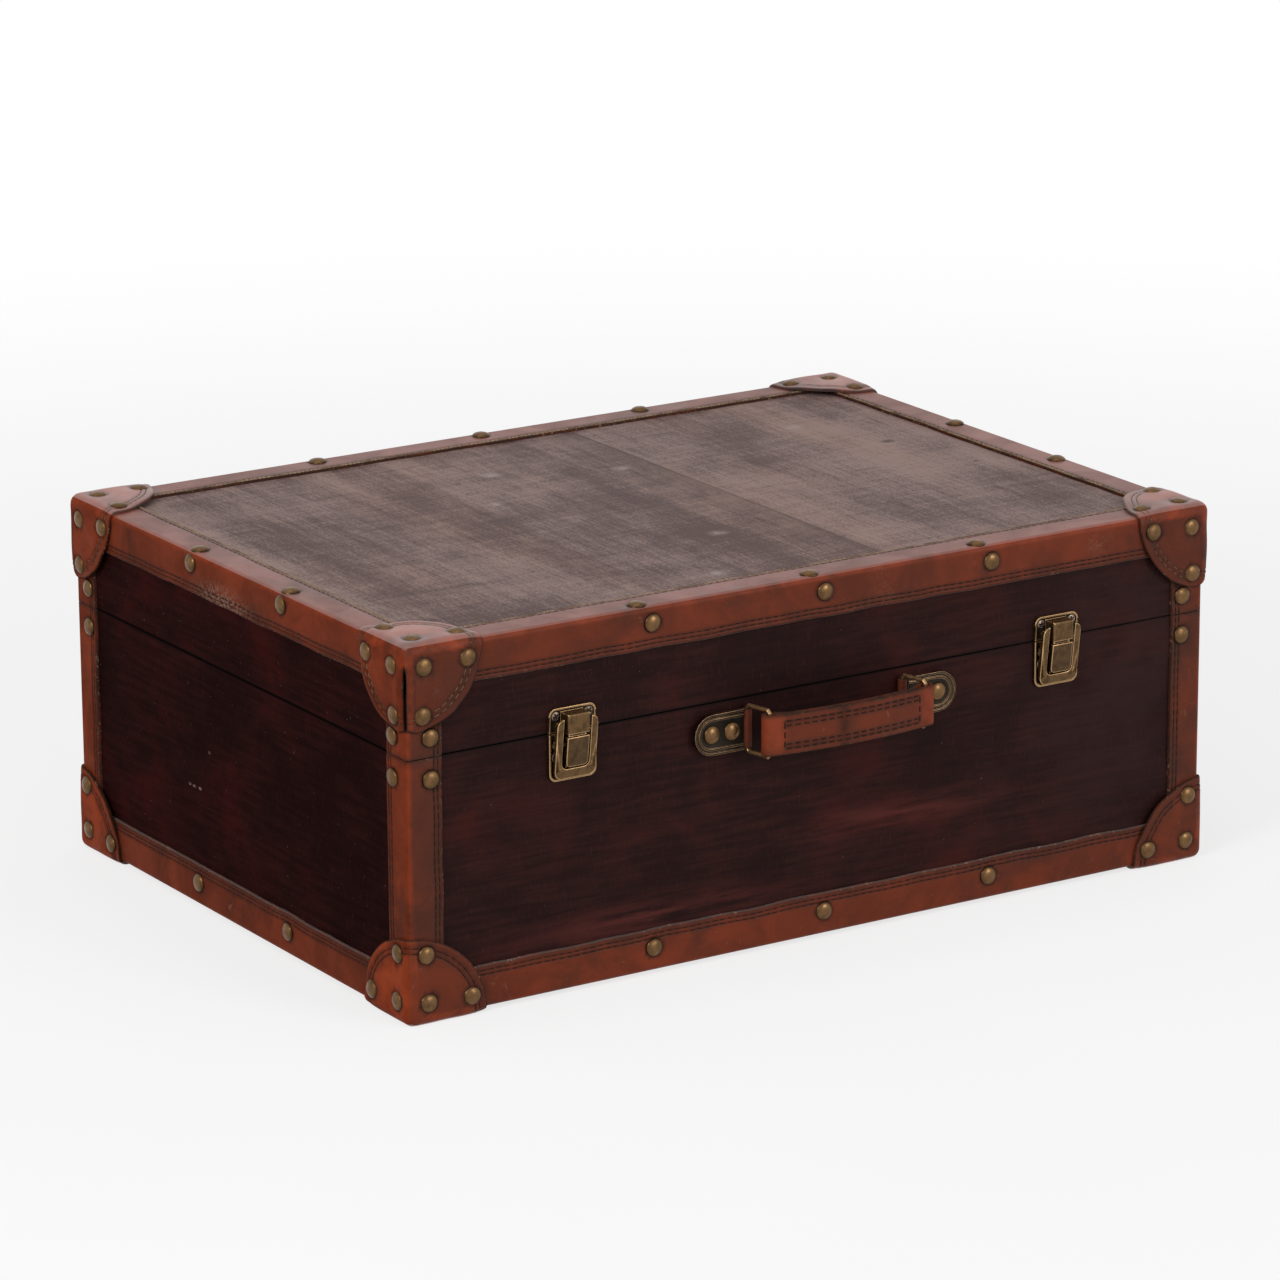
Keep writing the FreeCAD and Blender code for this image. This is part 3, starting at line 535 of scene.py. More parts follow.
def stitches(mesh, path, normals, length=3.0, gap=1.5, radius=0.36, sink=0.1):
    """Short raised thread stitches along a polyline that lies on a surface; sizes in millimetres."""
    lengths = [0.0]
    for a, b in zip(path, path[1:]):
        lengths.append(lengths[-1] + (b - a).length)
    total = lengths[-1]
    count = max(1, int(total / ((length + gap) * MM)))
    step = total / count
    segment = 0

    def at(distance):
        nonlocal segment
        while segment > 0 and lengths[segment] > distance:
            segment -= 1
        while segment < len(lengths) - 2 and lengths[segment + 1] < distance:
            segment += 1
        share = (distance - lengths[segment]) / max(1e-9, lengths[segment + 1] - lengths[segment])
        place = path[segment].lerp(path[segment + 1], share)
        return place, normals[segment].lerp(normals[segment + 1], share).normalized()

    for k in range(count):
        start = k * step + gap * MM / 2
        rows = []
        for share in (0, 0.12, 0.5, 0.88, 1):
            distance = start + share * (step - gap * MM)
            place, up = at(distance)
            along = at(min(total, distance + 0.2 * MM))[0] - at(max(0, distance - 0.2 * MM))[0]
            side = along.normalized().cross(up).normalized()
            end = share in (0, 1)
            size = radius * MM * (0.35 if end else 1.0)
            rise = -sink * MM - (0.45 * radius * MM if end else 0)
            ring = []
            for n in range(6):
                turn = 2 * math.pi * n / 6
                offset = side * size * math.cos(turn) + up * (rise + size * math.sin(turn))
                ring.append(mesh.point(place + offset))
            rows.append(ring)
        mesh.grid(rows, close_across=True)


tacks = {body: islands(f"{body}_tacks") for body in ("base", "lid")}
PULL_DEPTH, PULL_WIDTH, PULL_REACH = 0.5 * MM, 6.2 * MM, 14 * MM


def tack_pull(place, body):
    """(how far tacks nearby pull the leather in, how dark it is round them: dirt with painted shade under
    the head).
    """
    depth, dirt_and_shade = 0.0, 0.0
    for centre, normal in tacks[body]:
        offset = place - centre
        if abs(offset.dot(normal)) < 2.5 * MM and offset.length < PULL_REACH:
            depth += PULL_DEPTH * math.exp(-(offset.length / PULL_WIDTH) ** 2)
            dirt_and_shade = max(dirt_and_shade, smooth(6.6, 5.2, offset.length / MM))
    return depth, dirt_and_shade


# Leather strips and posts: an angle section drawn along one edge of the case

LEATHER, BEND, STRIP_STEP = 1.8, 3.0, 1.9
HIDE_MARKS = ("edge", "dirt_and_shade", "tone", "rub_and_highlight")
ROWS, TOP_ROWS, CORD_ROW = (2.6, 4.8), (2.7,), 0.9
HIDDEN = 26 * MM  # the strips end this far from the corners, under the patches
threads = {"dark": {"base": Mesh(), "lid": Mesh()}, "straw": {"lid": Mesh()}, "cord": {"lid": Mesh()}}
strip_low, strip_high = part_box("base_edge_front")[0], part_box("lid_edge_back")[1]
seam = {"base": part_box("base_front_panel")[1].z, "lid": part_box("lid_front_panel")[0].z}
STRIP_LEG = (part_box("lid_edge_front")[1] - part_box("lid_edge_front")[0]).z / MM
TOP_LEG = STRIP_LEG - 1.5
POST_LEG = (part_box("base_post_front_left")[1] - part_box("base_post_front_left")[0]).x / MM


def leg_profile(length, rows):
    """(distance from the arris, sunk, edge, dirt and painted shade) across one leg, from the arris to the
    cut edge.
    """
    profile = [(length * share, 0, 0, 0) for share in (0.17, 0.26, 0.35, 0.44, 0.53, 0.62, 0.69)]
    for row in rows[::-1]:
        spot = length - row
        profile += [(spot - 0.7, 0, 0, 0.3), (spot, 0.34, 0, 0.8), (spot + 0.7, 0, 0, 0.35)]
    profile += [(length - 0.9, 0.03, 0.45, 0.3), (length - 0.4, 0.2, 0.85, 0.1), (length, 0.7, 1, 0)]
    return profile + [(length, LEATHER - 0.02, 1, 0.5)]


def edge_slack(place, number):
    """How far the cut edge wanders, in millimetres."""
    return 0.75 * wobble(place, 38, 3 + 5 * number) + 0.16 * wobble(place, 420, 11 + number)


def leather_angle(name, node, body, start, end, legs, ends=False, black_over=math.inf):
    """Two legs from an arris; each leg is (way along its face, length, stitch rows, tone with painted shade,
    corded).

    Above the height black_over it is painted black, as shade behind the slit of a lid patch.
    """
    mesh = Mesh(*HIDE_MARKS)
    run = end - start
    count = max(8, int(run.length / (STRIP_STEP * MM)))
    places = [start + run * (s / count) for s in range(count + 1)]
    first, second = legs[0][0], legs[1][0]
    rows = []
    for s, place in enumerate(places):
        cut = max(0, 1 - min(s, count - s) / 1.2) if ends else 0
        # Painted shade: black behind the slit of a lid patch.
        black = float(place.z > black_over)
        flats = []
        for number, (along, leg, sewn, tone, _) in enumerate(legs):
            inward = legs[1 - number][0]
            slack = edge_slack(place, number)
            points = []
            for distance, sunk, edge, dirt_and_shade in leg_profile(leg, sewn):
                spot = place + along * (distance + slack * distance / leg) * MM
                pull, ring = tack_pull(spot, body)
                depth = sunk * MM + pull + 0.12 * MM * wobble(spot, 90, 9) + 0.5 * MM * max(0, cut - 0.5)
                # Painted shade: each leg turns darker towards its cut edge, by its tone.
                shaded = tone * (0.85 + 0.3 * distance / leg)
                marks = {"edge": max(edge, 0.8 * cut), "dirt_and_shade": max(dirt_and_shade, 0.8 * ring, black), "tone": shaded}
                points.append(mesh.point(spot + inward * max(0.02 * MM, depth), **marks))
            flats.append(points)
        bend = []
        for i in range(7):
            turn = math.pi / 2 * i / 6
            out = first * (BEND * (1 - math.sin(turn))) + second * (BEND * (1 - math.cos(turn)))
            # The bend: rubbed wear with a painted highlight, and black painted shade behind a slit.
            tone = legs[0][3] + (legs[1][3] - legs[0][3]) * i / 6
            marks = {"rub_and_highlight": 0.4 * math.sin(2 * turn), "tone": 0.7 * tone, "dirt_and_shade": black}
            marks["edge"] = max(0.8 * cut, black)
            bend.append(mesh.point(place + out * MM, **marks))
        inner = mesh.point(place + (first + second) * LEATHER * MM)
        rows.append(flats[0][::-1] + bend + flats[1] + [inner])
    mesh.grid(rows, close_across=True)
    mesh.faces += [tuple(rows[0]), tuple(reversed(rows[-1]))]
    hidden = [node] if node else ()
    piece(name, mesh, HIDES, body, replaces=hidden)
    for number, (along, leg, sewn, _, corded) in enumerate(legs):
        inward = legs[1 - number][0]

        def seam_line(row, sunk):
            line = []
            for place in places:
                distance = leg - row
                spot = place + along * (distance + edge_slack(place, number) * distance / leg) * MM
                line.append(spot + inward * (sunk * MM + tack_pull(spot, body)[0]))
            return line, [-inward] * len(line)

        for row in sewn:
            stitches(threads["dark"][body], *seam_line(row, 0.25))
        if corded:
            stitches(threads["cord"][body], *seam_line(CORD_ROW, 0.1), length=2.4, gap=0.2, radius=0.62)


def corner(side_x, side_y, z):
    """A corner of the box over the leather strips."""
    x = strip_low.x if side_x < 0 else strip_high.x
    y = strip_low.y if side_y < 0 else strip_high.y
    return Vector((x, y, z))


CORNERS = [(side_x, side_y, f"{row}_{column}") for side_y, row in ((-1, "front"), (1, "back"))
           for side_x, column in ((-1, "left"), (1, "right"))]


def bind_edges(body, level, inward):
    """The four strips round the foot of the base or the top of the lid; patches hide their ends."""
    lid = body == "lid"
    flat = (TOP_LEG, TOP_ROWS, 0.4, True) if lid else (STRIP_LEG, ROWS, 0.4, False)
    # Tone per upright leg darkens the hide as painted shade: the lid's front and back legs more than its
    # side legs.
    for run, across, names, tone in ((X, Y, ("front", "back"), 0.5 if lid else 0.35),
                                     (Y, X, ("left", "right"), 0.3 if lid else 0.38)):
        for side, name in zip((-1, 1), names):
            ends = []
            for way in (-1, 1):
                sides = run * way + across * side
                ends.append(corner(sides.x, sides.y, level) - run * way * HIDDEN)
            legs = ((across * -side, *flat), (Z * inward, STRIP_LEG, ROWS, tone, False))
            leather_angle(f"{body}_strip_{name}", f"{body}_edge_{name}", body, *ends, legs)


def bind_posts(body, level, inward):
    """The four corner posts, from the strips to the seam; one CAD node holds all the lid's."""
    for side_x, side_y, name in CORNERS:
        start = corner(side_x, side_y, level + inward * (STRIP_LEG + 1) * MM)
        end = corner(side_x, side_y, seam[body])
        node = f"base_post_{name}"
        if body == "lid":
            node = "lid_posts" if name == "front_left" else None
        # Above this the hide is painted black, as shade behind the patch's slit.
        black_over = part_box(f"lid_corner_{name}")[0].z + 1.5 * MM
        # Painted shade: the leg on the front or back face is far darker than the leg on the side face.
        legs = ((X * -side_x, POST_LEG, ROWS, 0.85, False), (Y * -side_y, POST_LEG, ROWS, 0.15, False))
        leather_angle(f"{body}_upright_{name}", node, body, start, end, legs, True, black_over)


# Corner patches: three lobes on a rounded corner

PATCH_ROUND = 5.0
PATCH_ROWS = (4.3, 6.9)
PATCH_STEPS = 44
SLIT_START, SLIT_GAPE, SLIT_ROWS = 10.0, 1.35, (4.2, 6.0)
PUFF, TACK_DISH = {"base": 0.7, "lid": 1.1}, 2.1
FLOOR = cad_bounds[0][2] + 0.03 * MM


def on_corner(origin, axes, offsets, sink):
    """(place, outward normal) of a point given in millimetres along three axes from a rounded corner."""
    inner = [max(d, PATCH_ROUND) for d in offsets]
    away = Vector([d - i for d, i in zip(offsets, inner)]).normalized()
    local = [i + a * (PATCH_ROUND - sink) for i, a in zip(inner, away)]
    place = origin + sum((axis * value * MM for axis, value in zip(axes, local)), Vector())
    return place, sum((axis * value for axis, value in zip(axes, away)), Vector())


def leather_patch(body, name, side_x, side_y, inward, slit):
    """A patch of three round lobes; the lid's are slit along the upright edge."""
    low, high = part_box(name)
    reach = (high - low).x / MM - 0.15
    axes = (X * -side_x, Y * -side_y, Z * inward)
    origin = Vector([(high if axis[i] < 0 else low)[i] for i, axis in enumerate(axes)])
    rings = [0, 2, 4, 6.5, 9, 12, 15, 18, 21, 24, 27, 30, 33, 35]
    for row in PATCH_ROWS[::-1]:
        rings += [reach - row - 0.7, reach - row, reach - row + 0.7]
    rings += [reach - 2, reach - 1.1, reach - 0.45, reach]
    mesh = Mesh(*HIDE_MARKS)
    thread = threads["straw" if body == "lid" else "dark"][body]
    shared = {}

    def spot(along, across, cut, radius, turn):
        """Offsets of a point on one lobe, and how far the slit has opened there."""
        square = 2.2 * smooth(math.radians(80), math.radians(90), turn) if cut else 0
        lump = 0.012 * math.sin(2 * turn) * wobble((turn, along, across), 3.0, side_x + 2 * side_y + inward)
        radius = radius * (1 - square / reach) * (1 + lump * smooth(20, 40, radius))
        a, b = radius * math.cos(turn), radius * math.sin(turn)
        gape = SLIT_GAPE * smooth(SLIT_START, SLIT_START + 3, b) if cut else 0
        offsets = [0.0, 0.0, 0.0]
        offsets[along], offsets[across] = gape + a * (1 - gape / reach), b
        return offsets, gape

    def puffed(place, from_edge):
        """How far the hide lies in: drawn down at its tacks and edge, puffed out between."""
        puff = PUFF[body] * MM * smooth(0.5, 9, from_edge)
        return TACK_DISH * tack_pull(place, body)[0] + 0.25 * MM * wobble(place, 70, 5) - puff

    def sew(places):
        """A row of stitches through places given as offsets."""
        path, normals = [], []
        for offsets in places:
            place, normal = on_corner(origin, axes, offsets, 0.2)
            place -= normal * puffed(place, reach - max(offsets))
            place.z = max(place.z, FLOOR + 0.3 * MM)
            path.append(place)
            normals.append(normal)
        stitches(thread, path, normals, radius=0.3)

    for along, across, face in ((0, 2, 1), (1, 2, 0), (0, 1, 2)):
        cut = slit and face != 2
        grid = []
        for radius in rings:
            row = []
            from_edge = reach - radius
            groove = min(abs(from_edge - r) for r in PATCH_ROWS) < 0.05
            for n in range(PATCH_STEPS + 1):
                offsets, gape = spot(along, across, cut, radius, math.pi / 2 * n / PATCH_STEPS)
                sunk = (0.3 if groove else 0) + 0.35 * smooth(1.0, 0, from_edge)
                edge = smooth(1.3, 0.3, from_edge)
                dirt_and_shade = 0.8 if groove else 0.5 * smooth(9.5, 6, from_edge) * smooth(1.0, 3, from_edge)
                # Painted shade in the slit: its cut edges and the hide beside it darken.
                if gape > 0:
                    edge = max(edge, smooth(2.6, 1.5, offsets[along]) * smooth(0, 0.8, gape))
                    dirt_and_shade = max(dirt_and_shade, 0.5 * smooth(7, 5, offsets[along]))
                place, normal = on_corner(origin, axes, offsets, sunk)
                ring = tack_pull(place, body)[1]
                place -= normal * puffed(place, reach - max(offsets))
                place.z = max(place.z, FLOOR)
                bent = sum(1 for o in offsets if o < PATCH_ROUND) > 1
                k = tuple(round(o * 200) for o in offsets)
                if k not in shared:
                    # Lighter on bends, lobes facing up or down and the base's left lobes: rubbed wear with a
                    # painted highlight.
                    rub_and_highlight = max(0.6 * bent, 0.8 * (face == 0 and body == "base"), 0.6 * (face == 2))
                    marks = {"edge": edge, "dirt_and_shade": max(dirt_and_shade, 0.8 * ring), "rub_and_highlight": rub_and_highlight}
                    # Painted shade: the lobe facing front or back is much darker than the others.
                    shared[k] = mesh.point(place, tone=(0.05, 0.6, 0.05)[face], **marks)
                row.append(shared[k])
            grid.append(row)
        for a, b in zip(grid, grid[1:]):
            for i in range(PATCH_STEPS):
                quad = list(dict.fromkeys((a[i], a[i + 1], b[i + 1], b[i])))
                if len(quad) > 2:
                    mesh.faces.append(tuple(quad))
        turns = [math.pi / 4 * n / PATCH_STEPS for n in range(2, PATCH_STEPS * 2 - 1)]
        for r in PATCH_ROWS:
            sew([spot(along, across, cut, reach - r, turn)[0] for turn in turns])
        for inset in SLIT_ROWS if cut else ():
            places = []
            for n in range(24):
                offsets = [0.0, 0.0, 0.0]
                offsets[along], offsets[across] = inset, SLIT_START + 2 + (reach - SLIT_START - 10) * n / 23
                places.append(offsets)
            sew(places)
    made = piece(f"{name}_hide", mesh, PATCH_HIDES, body, replaces=[name])
    put(made.modifiers.new("thickness", "SOLIDIFY"), thickness=(LEATHER - 0.05) * MM, offset=-1)
    put(made.modifiers.new("soft_edge", "BEVEL"), width=0.35 * MM, segments=2, angle_limit=CREASE)


# Tacks and screws

HEAD_SIDES, HEAD_SUNK = 24, 0.4


def tack_heads(body):
    """Domed tack heads, each turned, tipped and dented a little differently."""
    rng = random.Random(len(tacks[body]))
    mesh = Mesh("rim")
    # Radius, height and darkness from the foot to the crown; the darkness is painted shade round the foot,
    # with patina.
    profile = ((4.85, 0.0, 1), (4.85, 0.35, 1), (4.66, 0.78, 0.75), (4.15, 1.27, 0.35), (3.3, 1.74, 0.1),
               (2.2, 2.09, 0), (1.1, 2.26, 0))
    for centre, normal in tacks[body]:
        tip = Vector((rng.uniform(-0.05, 0.05), rng.uniform(-0.05, 0.05), 1)).normalized()
        basis = frame_for(normal, rng.uniform(0, 6.28)) @ frame_for(tip)
        base = centre - normal * HEAD_SUNK * MM
        rows = []
        for radius, height, rim in profile:
            ring = []
            for n in range(HEAD_SIDES):
                turn = 2 * math.pi * n / HEAD_SIDES
                local = Vector((radius * math.cos(turn), radius * math.sin(turn), height))
                local.z += 0.1 * wobble(local + centre / MM, 0.35, 1) * smooth(4.8, 3, radius)
                dark = rim * (0.8 + 0.4 * wobble(local + centre / MM, 0.3, 4))
                ring.append(mesh.point(base + basis @ local * MM, rim=dark))
            rows.append(ring)
        mesh.grid(rows, close_across=True)
        top = mesh.point(base + basis @ Vector((0, 0, 2.3)) * MM)
        for n in range(HEAD_SIDES):
            mesh.faces.append((rows[-1][n], rows[-1][(n + 1) % HEAD_SIDES], top))
    piece(f"{body}_tack_heads", mesh, [tack_brass], body, replaces=[f"{body}_tacks"])


def screw_heads(body):
    """Small domed screw heads with a cross recess."""
    rng = random.Random(5)
    mesh = Mesh("rim")
    size, radius = 21, 2.5
    for centre, normal in islands(f"{body}_screws"):
        basis = frame_for(normal, rng.uniform(0, 3.14))
        rows = []
        for i in range(size):
            row = []
            for j in range(size):
                u, v = 2 * i / (size - 1) - 1, 2 * j / (size - 1) - 1
                x, y = u * math.sqrt(1 - v * v / 2), v * math.sqrt(1 - u * u / 2)
                distance = math.hypot(x, y)
                height = 1.1 * math.sqrt(max(0, 1 - 0.85 * distance ** 2)) - (0.45 if distance > 0.99 else 0)
                recess = min(abs(x), abs(y)) < 0.13 and distance < 0.62
                local = Vector((x * radius, y * radius, height - (0.5 if recess else 0)))
                # Darker in the cross recess and towards the rim.
                rim = 1.0 if recess else 0.6 * smooth(0.7, 1, distance)
                row.append(mesh.point(centre + basis @ local * MM, rim=rim))
            rows.append(row)
        mesh.grid(rows)
    piece(f"{body}_screw_heads", mesh, [screw_bronze], body, replaces=[f"{body}_screws"])


# Handle

def band(mesh, path, tall, thickness, closed, marks):
    """A leather band on edge: path lists (place, outward normal), tall is half its height in millimetres."""
    levels = [(-tall, 0.3), (-tall + 0.25, 0.03), (-tall + 0.6, 0)]
    levels += [((tall - 0.6) * n / 7, 0) for n in range(-6, 7)]
    levels += [(tall - 0.6, 0), (tall - 0.25, 0.03), (tall, 0.3)]
    rings = []
    for k, (place, normal) in enumerate(path):
        ring = []
        for side in (1, -1):
            for height, tuck in levels[::side]:
                half = (thickness / 2 - tuck) * MM
                bulge = 0.1 * MM * wobble(place + Z * height * MM, 110, 3)
                spot = place + normal * side * (half + bulge) + Z * height * MM
                ring.append(mesh.point(spot, **marks(k, side, tall - abs(height))))
        rings.append(ring)
    mesh.grid(rings, close_across=True, close_along=closed)
    if not closed:
        mesh.faces += [tuple(rings[0]), tuple(reversed(rings[-1]))]


STRAP_LAYER = 2.42
STRAP_STEPS = 60
STRAP_ROWS = (3.2, 5.5)
SEWN_FROM, SEWN_TO = 4, 55


def handle_strap():
    """One band bowed outwards, round the outer bar of each ring and back behind itself."""
    low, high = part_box("handle_strap")
    left = Vector(joints["strap_turn"]["pos_m"])
    loop = (left.x - low.x) / MM
    right = Vector((high.x - loop * MM, left.y, left.z))
    tall = (high.z - low.z) / MM / 2 - 0.15
    half = (right.x - left.x) / 2 / MM
    middle = Vector(((left.x + right.x) / 2, left.y, (low.z + high.z) / 2))
    bow = (left.y - low.y) / MM - loop
    arc = (half ** 2 + bow ** 2) / (2 * bow)
    spread = math.asin(half / arc)
    front, behind = loop - STRAP_LAYER / 2 - 0.06, loop - 1.5 * STRAP_LAYER - 0.1

    def on_arc(turn, out):
        normal = Vector((math.sin(turn), -math.cos(turn), 0))
        return middle + Y * (arc - bow) * MM + normal * (arc + out) * MM, normal

    def round_bar(bar, sign):
        outward = on_arc(sign * spread, 0)[1]
        centre = Vector((bar.x, bar.y, middle.z))
        normals = [Matrix.Rotation(sign * math.pi * n / 14, 3, "Z") @ outward for n in range(1, 14)]
        return [(centre + normal * front * MM, normal) for normal in normals]

    path = [on_arc(-spread + 2 * spread * n / STRAP_STEPS, front) for n in range(STRAP_STEPS + 1)]
    path += round_bar(right, 1)
    for n in range(STRAP_STEPS + 1):
        turn = spread - 2 * spread * n / STRAP_STEPS
        near = (spread - abs(turn)) * arc
        place, normal = on_arc(turn, (front + behind) * smooth(1.0, 11.0, near) - front)
        path.append((place, -normal))
    path += round_bar(left, -1)[::-1]

    def marks(k, side, from_edge):
        sewn = SEWN_FROM <= k <= SEWN_TO and side > 0
        groove = max(smooth(1.3, 0.2, abs(from_edge - row)) for row in STRAP_ROWS) if sewn else 0
        smudge = 0.75 * math.exp(-((k - 0.42 * STRAP_STEPS) / 2.6) ** 2) if k <= STRAP_STEPS else 0
        worn = smooth(SEWN_FROM + 2, SEWN_FROM - 2, k) + smooth(SEWN_TO - 2, SEWN_TO + 2, k)
        return {"edge": smooth(1.1, 0.2, from_edge), "dirt_and_shade": max(0.7 * groove, smudge),
                "tone": 0.4 * (1 - worn), "rub_and_highlight": 0.8 * worn}

    mesh = Mesh(*HIDE_MARKS)
    band(mesh, path, tall, STRAP_LAYER, True, marks)
    piece("handle_strap_hide", mesh, [strap_leather], "handle_strap", replaces=["handle_strap"])
    thread = Mesh()
    face = STRAP_LAYER / 2 * MM
    span = path[SEWN_FROM:SEWN_TO + 1]
    for row in STRAP_ROWS:
        for side in (1, -1):
            line = [place + normal * face + Z * side * (tall - row) * MM for place, normal in span]
            stitches(thread, line, [normal for _, normal in span], 3.4, 1.3, 0.46)
    for place, normal in (span[0], span[-1]):
        line = [place + normal * face + Z * (tall - STRAP_ROWS[0]) * MM * n / 2 for n in range(-2, 3)]
        stitches(thread, line, [normal] * 5, 2.6, 1.2, 0.46)
    piece("handle_stitching", thread, [dark_thread], "handle_strap")


TAB_LAYER = 1.15
TAB_OVER, TAB_UNDER = 1.8, 0.62


def handle_tab(side, sign):
    """A strip folded round the ring's inner bar, both ends under the plate."""
    node = f"handle_tab_{side}"
    low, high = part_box(node)
    bar = Vector(joints["handle_swing" if side == "left" else "ring_right_swing"]["pos_m"])
    out = (high.y - bar.y) / MM
    radius = out - TAB_LAYER / 2 - 0.03
    start = abs(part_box(f"handle_plate_{side}")[0 if sign > 0 else 1].x - bar.x) / MM
    line = [(start + away, TAB_OVER) for away in (16, 6, 0.8)] + [(start - 0.6, TAB_OVER + 0.3)]
    for degrees in range(25, 271, 15):
        turn = math.radians(degrees)
        line.append((radius * math.cos(turn), out + radius * math.sin(turn)))
    line += [(start + away, TAB_UNDER) for away in (0, 8, 16)]
    places = [Vector((bar.x + sign * x * MM, high.y - w * MM, (low.z + high.z) / 2)) for x, w in line]
    path = []
    for i, place in enumerate(places):
        along = (places[min(i + 1, len(places) - 1)] - places[max(i - 1, 0)]).normalized()
        path.append((place, along.cross(Z) * sign))

    def marks(k, side, from_edge):
        return {"edge": 0.8 * smooth(0.9, 0.1, from_edge), "tone": 0.4}

    mesh = Mesh(*HIDE_MARKS)
    band(mesh, path, (high.z - low.z) / MM / 2, TAB_LAYER, False, marks)
    piece(f"{node}_hide", mesh, [strap_leather], "base", replaces=[node])


# Cloth lining

def lining_tray(body, into):
    """A tray with soft corners and a rolled rim; its outline lists (inset, rise from the rim)."""
    low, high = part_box(f"{body}_lining")
    middle = (low + high) / 2
    half_x, half_y = (high.x - low.x) / 2, (high.y - low.y) / 2
    rim = high.z if into > 0 else low.z
    depth = (high.z - low.z) / MM
    outline = [(0.05, 0.0), (0.3, 0.35), (0.8, 0.35), (1.1, 0.0), (0.95, -3.0), (1.1, -3.6), (1.1, -6.0)]
    outline += [(1.1, -depth * share) for share in (0.25, 0.5, 0.75, 0.92)]
    outline += [(1.3, 2.2 - depth), (2.0, 1.4 - depth), (3.2, 1.1 - depth)]
    mesh = Mesh()
    rings = []
    for inset, rise in outline:
        ring = []
        sx, sy = half_x - inset * MM, half_y - inset * MM
        radius = max(1.2, 3.2 - 0.5 * inset) * MM
        for cx, cy, start in ((1, 1, 0), (-1, 1, 90), (-1, -1, 180), (1, -1, 270)):
            for n in range(6):
                turn = math.radians(start + 18 * n)
                x = cx * (sx - radius) + radius * math.cos(turn)
                y = cy * (sy - radius) + radius * math.sin(turn)
                ring.append(mesh.point((middle.x + x, middle.y + y, rim + into * rise * MM)))
        rings.append(ring)
    mesh.grid(rings, close_across=True)
    mesh.faces.append(tuple(rings[-1]))
    piece(f"{body}_cloth_lining", mesh, [cloth], body, replaces=[f"{body}_lining"])


# Build the leather, metal and cloth pieces
for body, level, inward in (("base", strip_low.z, 1), ("lid", strip_high.z, -1)):
    bind_edges(body, level, inward)
    bind_posts(body, level, inward)
    for side_x, side_y, name in CORNERS:
        leather_patch(body, f"{body}_corner_{name}", side_x, side_y, inward, body == "lid")
    tack_heads(body)
    screw_heads(body)
    lining_tray(body, inward)
    piece(f"{body}_dark_stitching", threads["dark"][body], [dark_thread], body)
piece("lid_straw_stitching", threads["straw"]["lid"], [straw_thread], "lid")
piece("lid_edge_cord", threads["cord"]["lid"], [cord_thread], "lid")
handle_strap()
handle_tab("left", -1)
handle_tab("right", 1)


# Finish the CAD nodes that stay in view

SHARP = math.radians(32)


def dress(node, look, edge=0.0, edge_look=edge_brass):
    """Give a CAD node its look and, where edge is set, round edges that many millimetres wide, rubbed bright
    and painted as highlights.
    """
    made = nodes[node]
    made.data.materials.clear()
    made.data.materials.append(look.block)
    made.data.shade_smooth()
    made.data.set_sharp_from_angle(angle=SHARP)
    if edge:
        made.data.materials.append(edge_look.block)
        put(made.modifiers.new("weld", "WELD"), merge_threshold=1e-6)
        put(made.modifiers.new("edge", "BEVEL"), width=edge * MM, segments=3, angle_limit=SHARP,
            use_clamp_overlap=False, material=1)


def plates(kind, metal, field, rim, edge_look, rubbed, reach):
    """Dress the two plates of one kind; field, rim and the reach of the rubbed, painted highlight on edges
    are in millimetres.
    """
    wood_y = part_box("base_front_panel")[0].y
    look = plate_material(kind, metal, wood_y - field * MM, wood_y - rim * MM, rubbed, reach * MM)
    for side in ("left", "right"):
        dress(f"{kind}_{side}", look, PLATE_EDGE, edge_look)


LATCH_EDGE, PLATE_EDGE = 0.3, 0.2
# Part of a node's name, its look and its rubbed edge with painted highlight; the first that fits counts
FINISHES = (("top_panel", wood_top, 0), ("left_panel", wood_side, 0), ("right_panel", wood_side, 0),
            ("_panel", wood_front, 0), ("_pins", steel, 0), ("latch_spring", steel, 0),
            ("latch_frame", latch_brass, LATCH_EDGE), ("latch_tongue", tongue_brass, LATCH_EDGE),
            ("handle_ring", ring_brass, 0), ("hinge_leaf", hinge_brass, PLATE_EDGE))
for name in nodes:
    fitting = [finish for finish in FINISHES if finish[0] in name]
    if fitting:
        dress(name, *fitting[0][1:])
plates("latch_plate", LATCH_METAL, 0.95, 1.6, edge_brass, RUBBED_HIGHLIGHT, 0.8)
plates("latch_keeper", LATCH_METAL, 0.95, 1.6, edge_brass, RUBBED_HIGHLIGHT, 0.8)
plates("handle_plate", (0.055, 0.036, 0.021), 3.45, 4.05, dark_edge_brass, DARK_RUBBED_HIGHLIGHT, 0.35)


# Camera, solved from the photo's perspective: degrees of turn, and its place in case lengths
CAMERA_TURN = (-32.4888, 16.24488, -0.303399)
CAMERA_PLACE = (-3.41008465, -5.36067148, 2.08898074)
CASE_LENGTH = 0.48
scene = bpy.context.scene
middle = Vector(((strip_low.x + strip_high.x) / 2, (strip_low.y + strip_high.y) / 2, strip_low.z))
azimuth, elevation, roll = (math.radians(angle) for angle in CAMERA_TURN)
flat = Vector((math.sin(azimuth), -math.cos(azimuth), 0))
back = flat * math.cos(elevation) + Z * math.sin(elevation)
right = Z.cross(back).normalized()
up = back.cross(right)
rolled_right = right * math.cos(roll) + up * math.sin(roll)
rolled_up = up * math.cos(roll) - right * math.sin(roll)
camera = add("camera", put(bpy.data.cameras.new("camera"), lens=170.72, sensor_width=36, clip_end=100))
place = Matrix((rolled_right, rolled_up, back)).transposed().to_4x4()
place.translation = middle + Vector(CAMERA_PLACE) * CASE_LENGTH
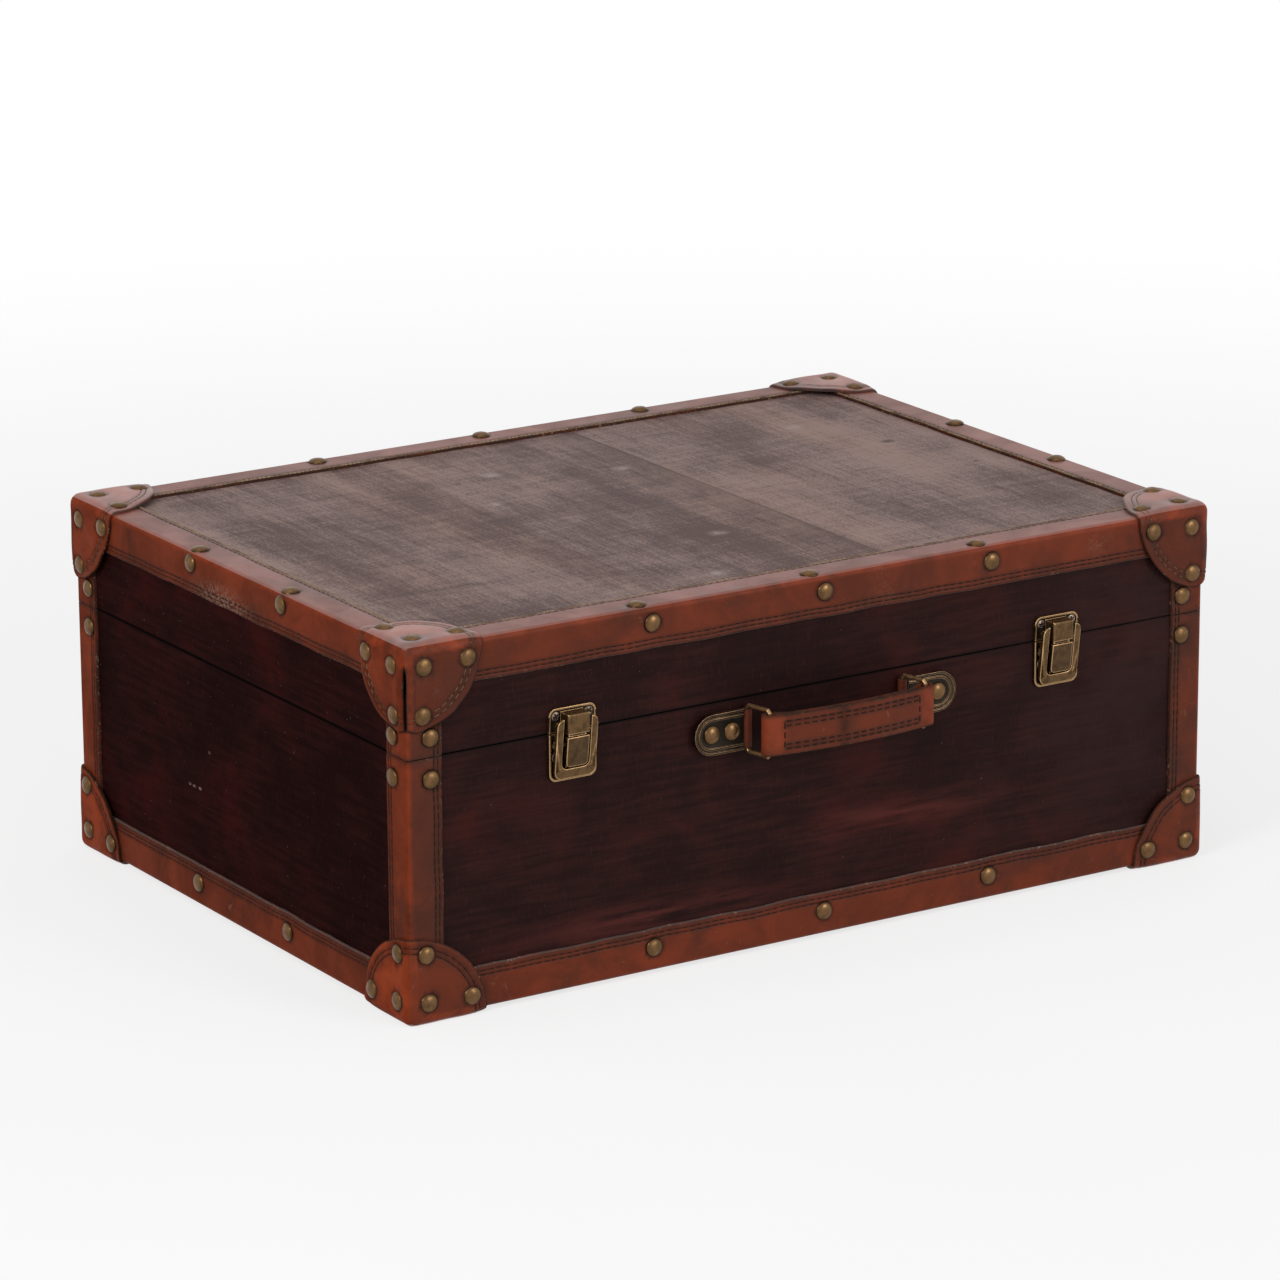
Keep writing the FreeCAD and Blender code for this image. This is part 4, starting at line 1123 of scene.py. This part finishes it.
camera.matrix_world = place
scene.camera = camera
scene.view_settings.view_transform = "Standard"


# Light and floor
AMBIENT = 0.42
sky = Graph("studio", bpy.data.worlds, "Background")
level = sky.fill(sky.node("ShaderNodeMapRange"), Value=sky.seen_directly(), To_Min=AMBIENT, To_Max=1.0)
sky.set(Color=(1, 1, 1, 1), Strength=level.outputs["Result"])
scene.world = sky.block


def lamp(name, location, size, watts):
    """A round lamp aimed at the middle of the case."""
    made = add(name, put(bpy.data.lights.new(name, "AREA"), shape="DISK", size=size, energy=watts))
    made.location = location
    aim = middle + Z * 0.09 - made.location
    made.rotation_euler = aim.to_track_quat("-Z", "Y").to_euler()


lamp("overhead", (-0.3, -0.2, 2.2), 1.6, 6)
lamp("left_key", (-2.2, -0.9, 1.4), 1.0, 24)
lamp("front_fill", (0.9, -2.4, 1.0), 1.2, 18)

FLOOR_HALF, FLOOR_FADE, FLOOR_LIFT = 9, 1.6, 0.72
floor_mesh = bpy.data.meshes.new("floor")
outline = [(x * FLOOR_HALF, y * FLOOR_HALF, 0) for x, y in ((-1, -1), (1, -1), (1, 1), (-1, 1))]
floor_mesh.from_pydata(outline, [], [(0, 1, 2, 3)])
floor = add("floor", floor_mesh)
g = Graph("floor_paper")
paper = g.mix(g.remap(g.noise(3, 2), 0.3, 0.7), (0.92, 0.92, 0.92), (0.95, 0.95, 0.95))
paper = g.mix(g.seen_directly(), (0.5, 0.5, 0.5), paper)
g.set(Base_Color=paper, Roughness=0.9, Specular_IOR_Level=0.0)
white = g.node("ShaderNodeEmission").outputs["Emission"]
lifted = g.fill(g.node("ShaderNodeMixShader"), g.times(g.seen_directly(), FLOOR_LIFT),
                g.shader.outputs["BSDF"], white)
clear = g.node("ShaderNodeBsdfTransparent").outputs["BSDF"]
faded = g.fill(g.node("ShaderNodeMixShader"), g.spot((0, 0, 0), (FLOOR_FADE,) * 3, 0.3), clear,
               lifted.outputs["Shader"])
g.fill(g.tree.nodes["Material Output"], Surface=faded.outputs["Shader"])
floor_mesh.materials.append(g.block)
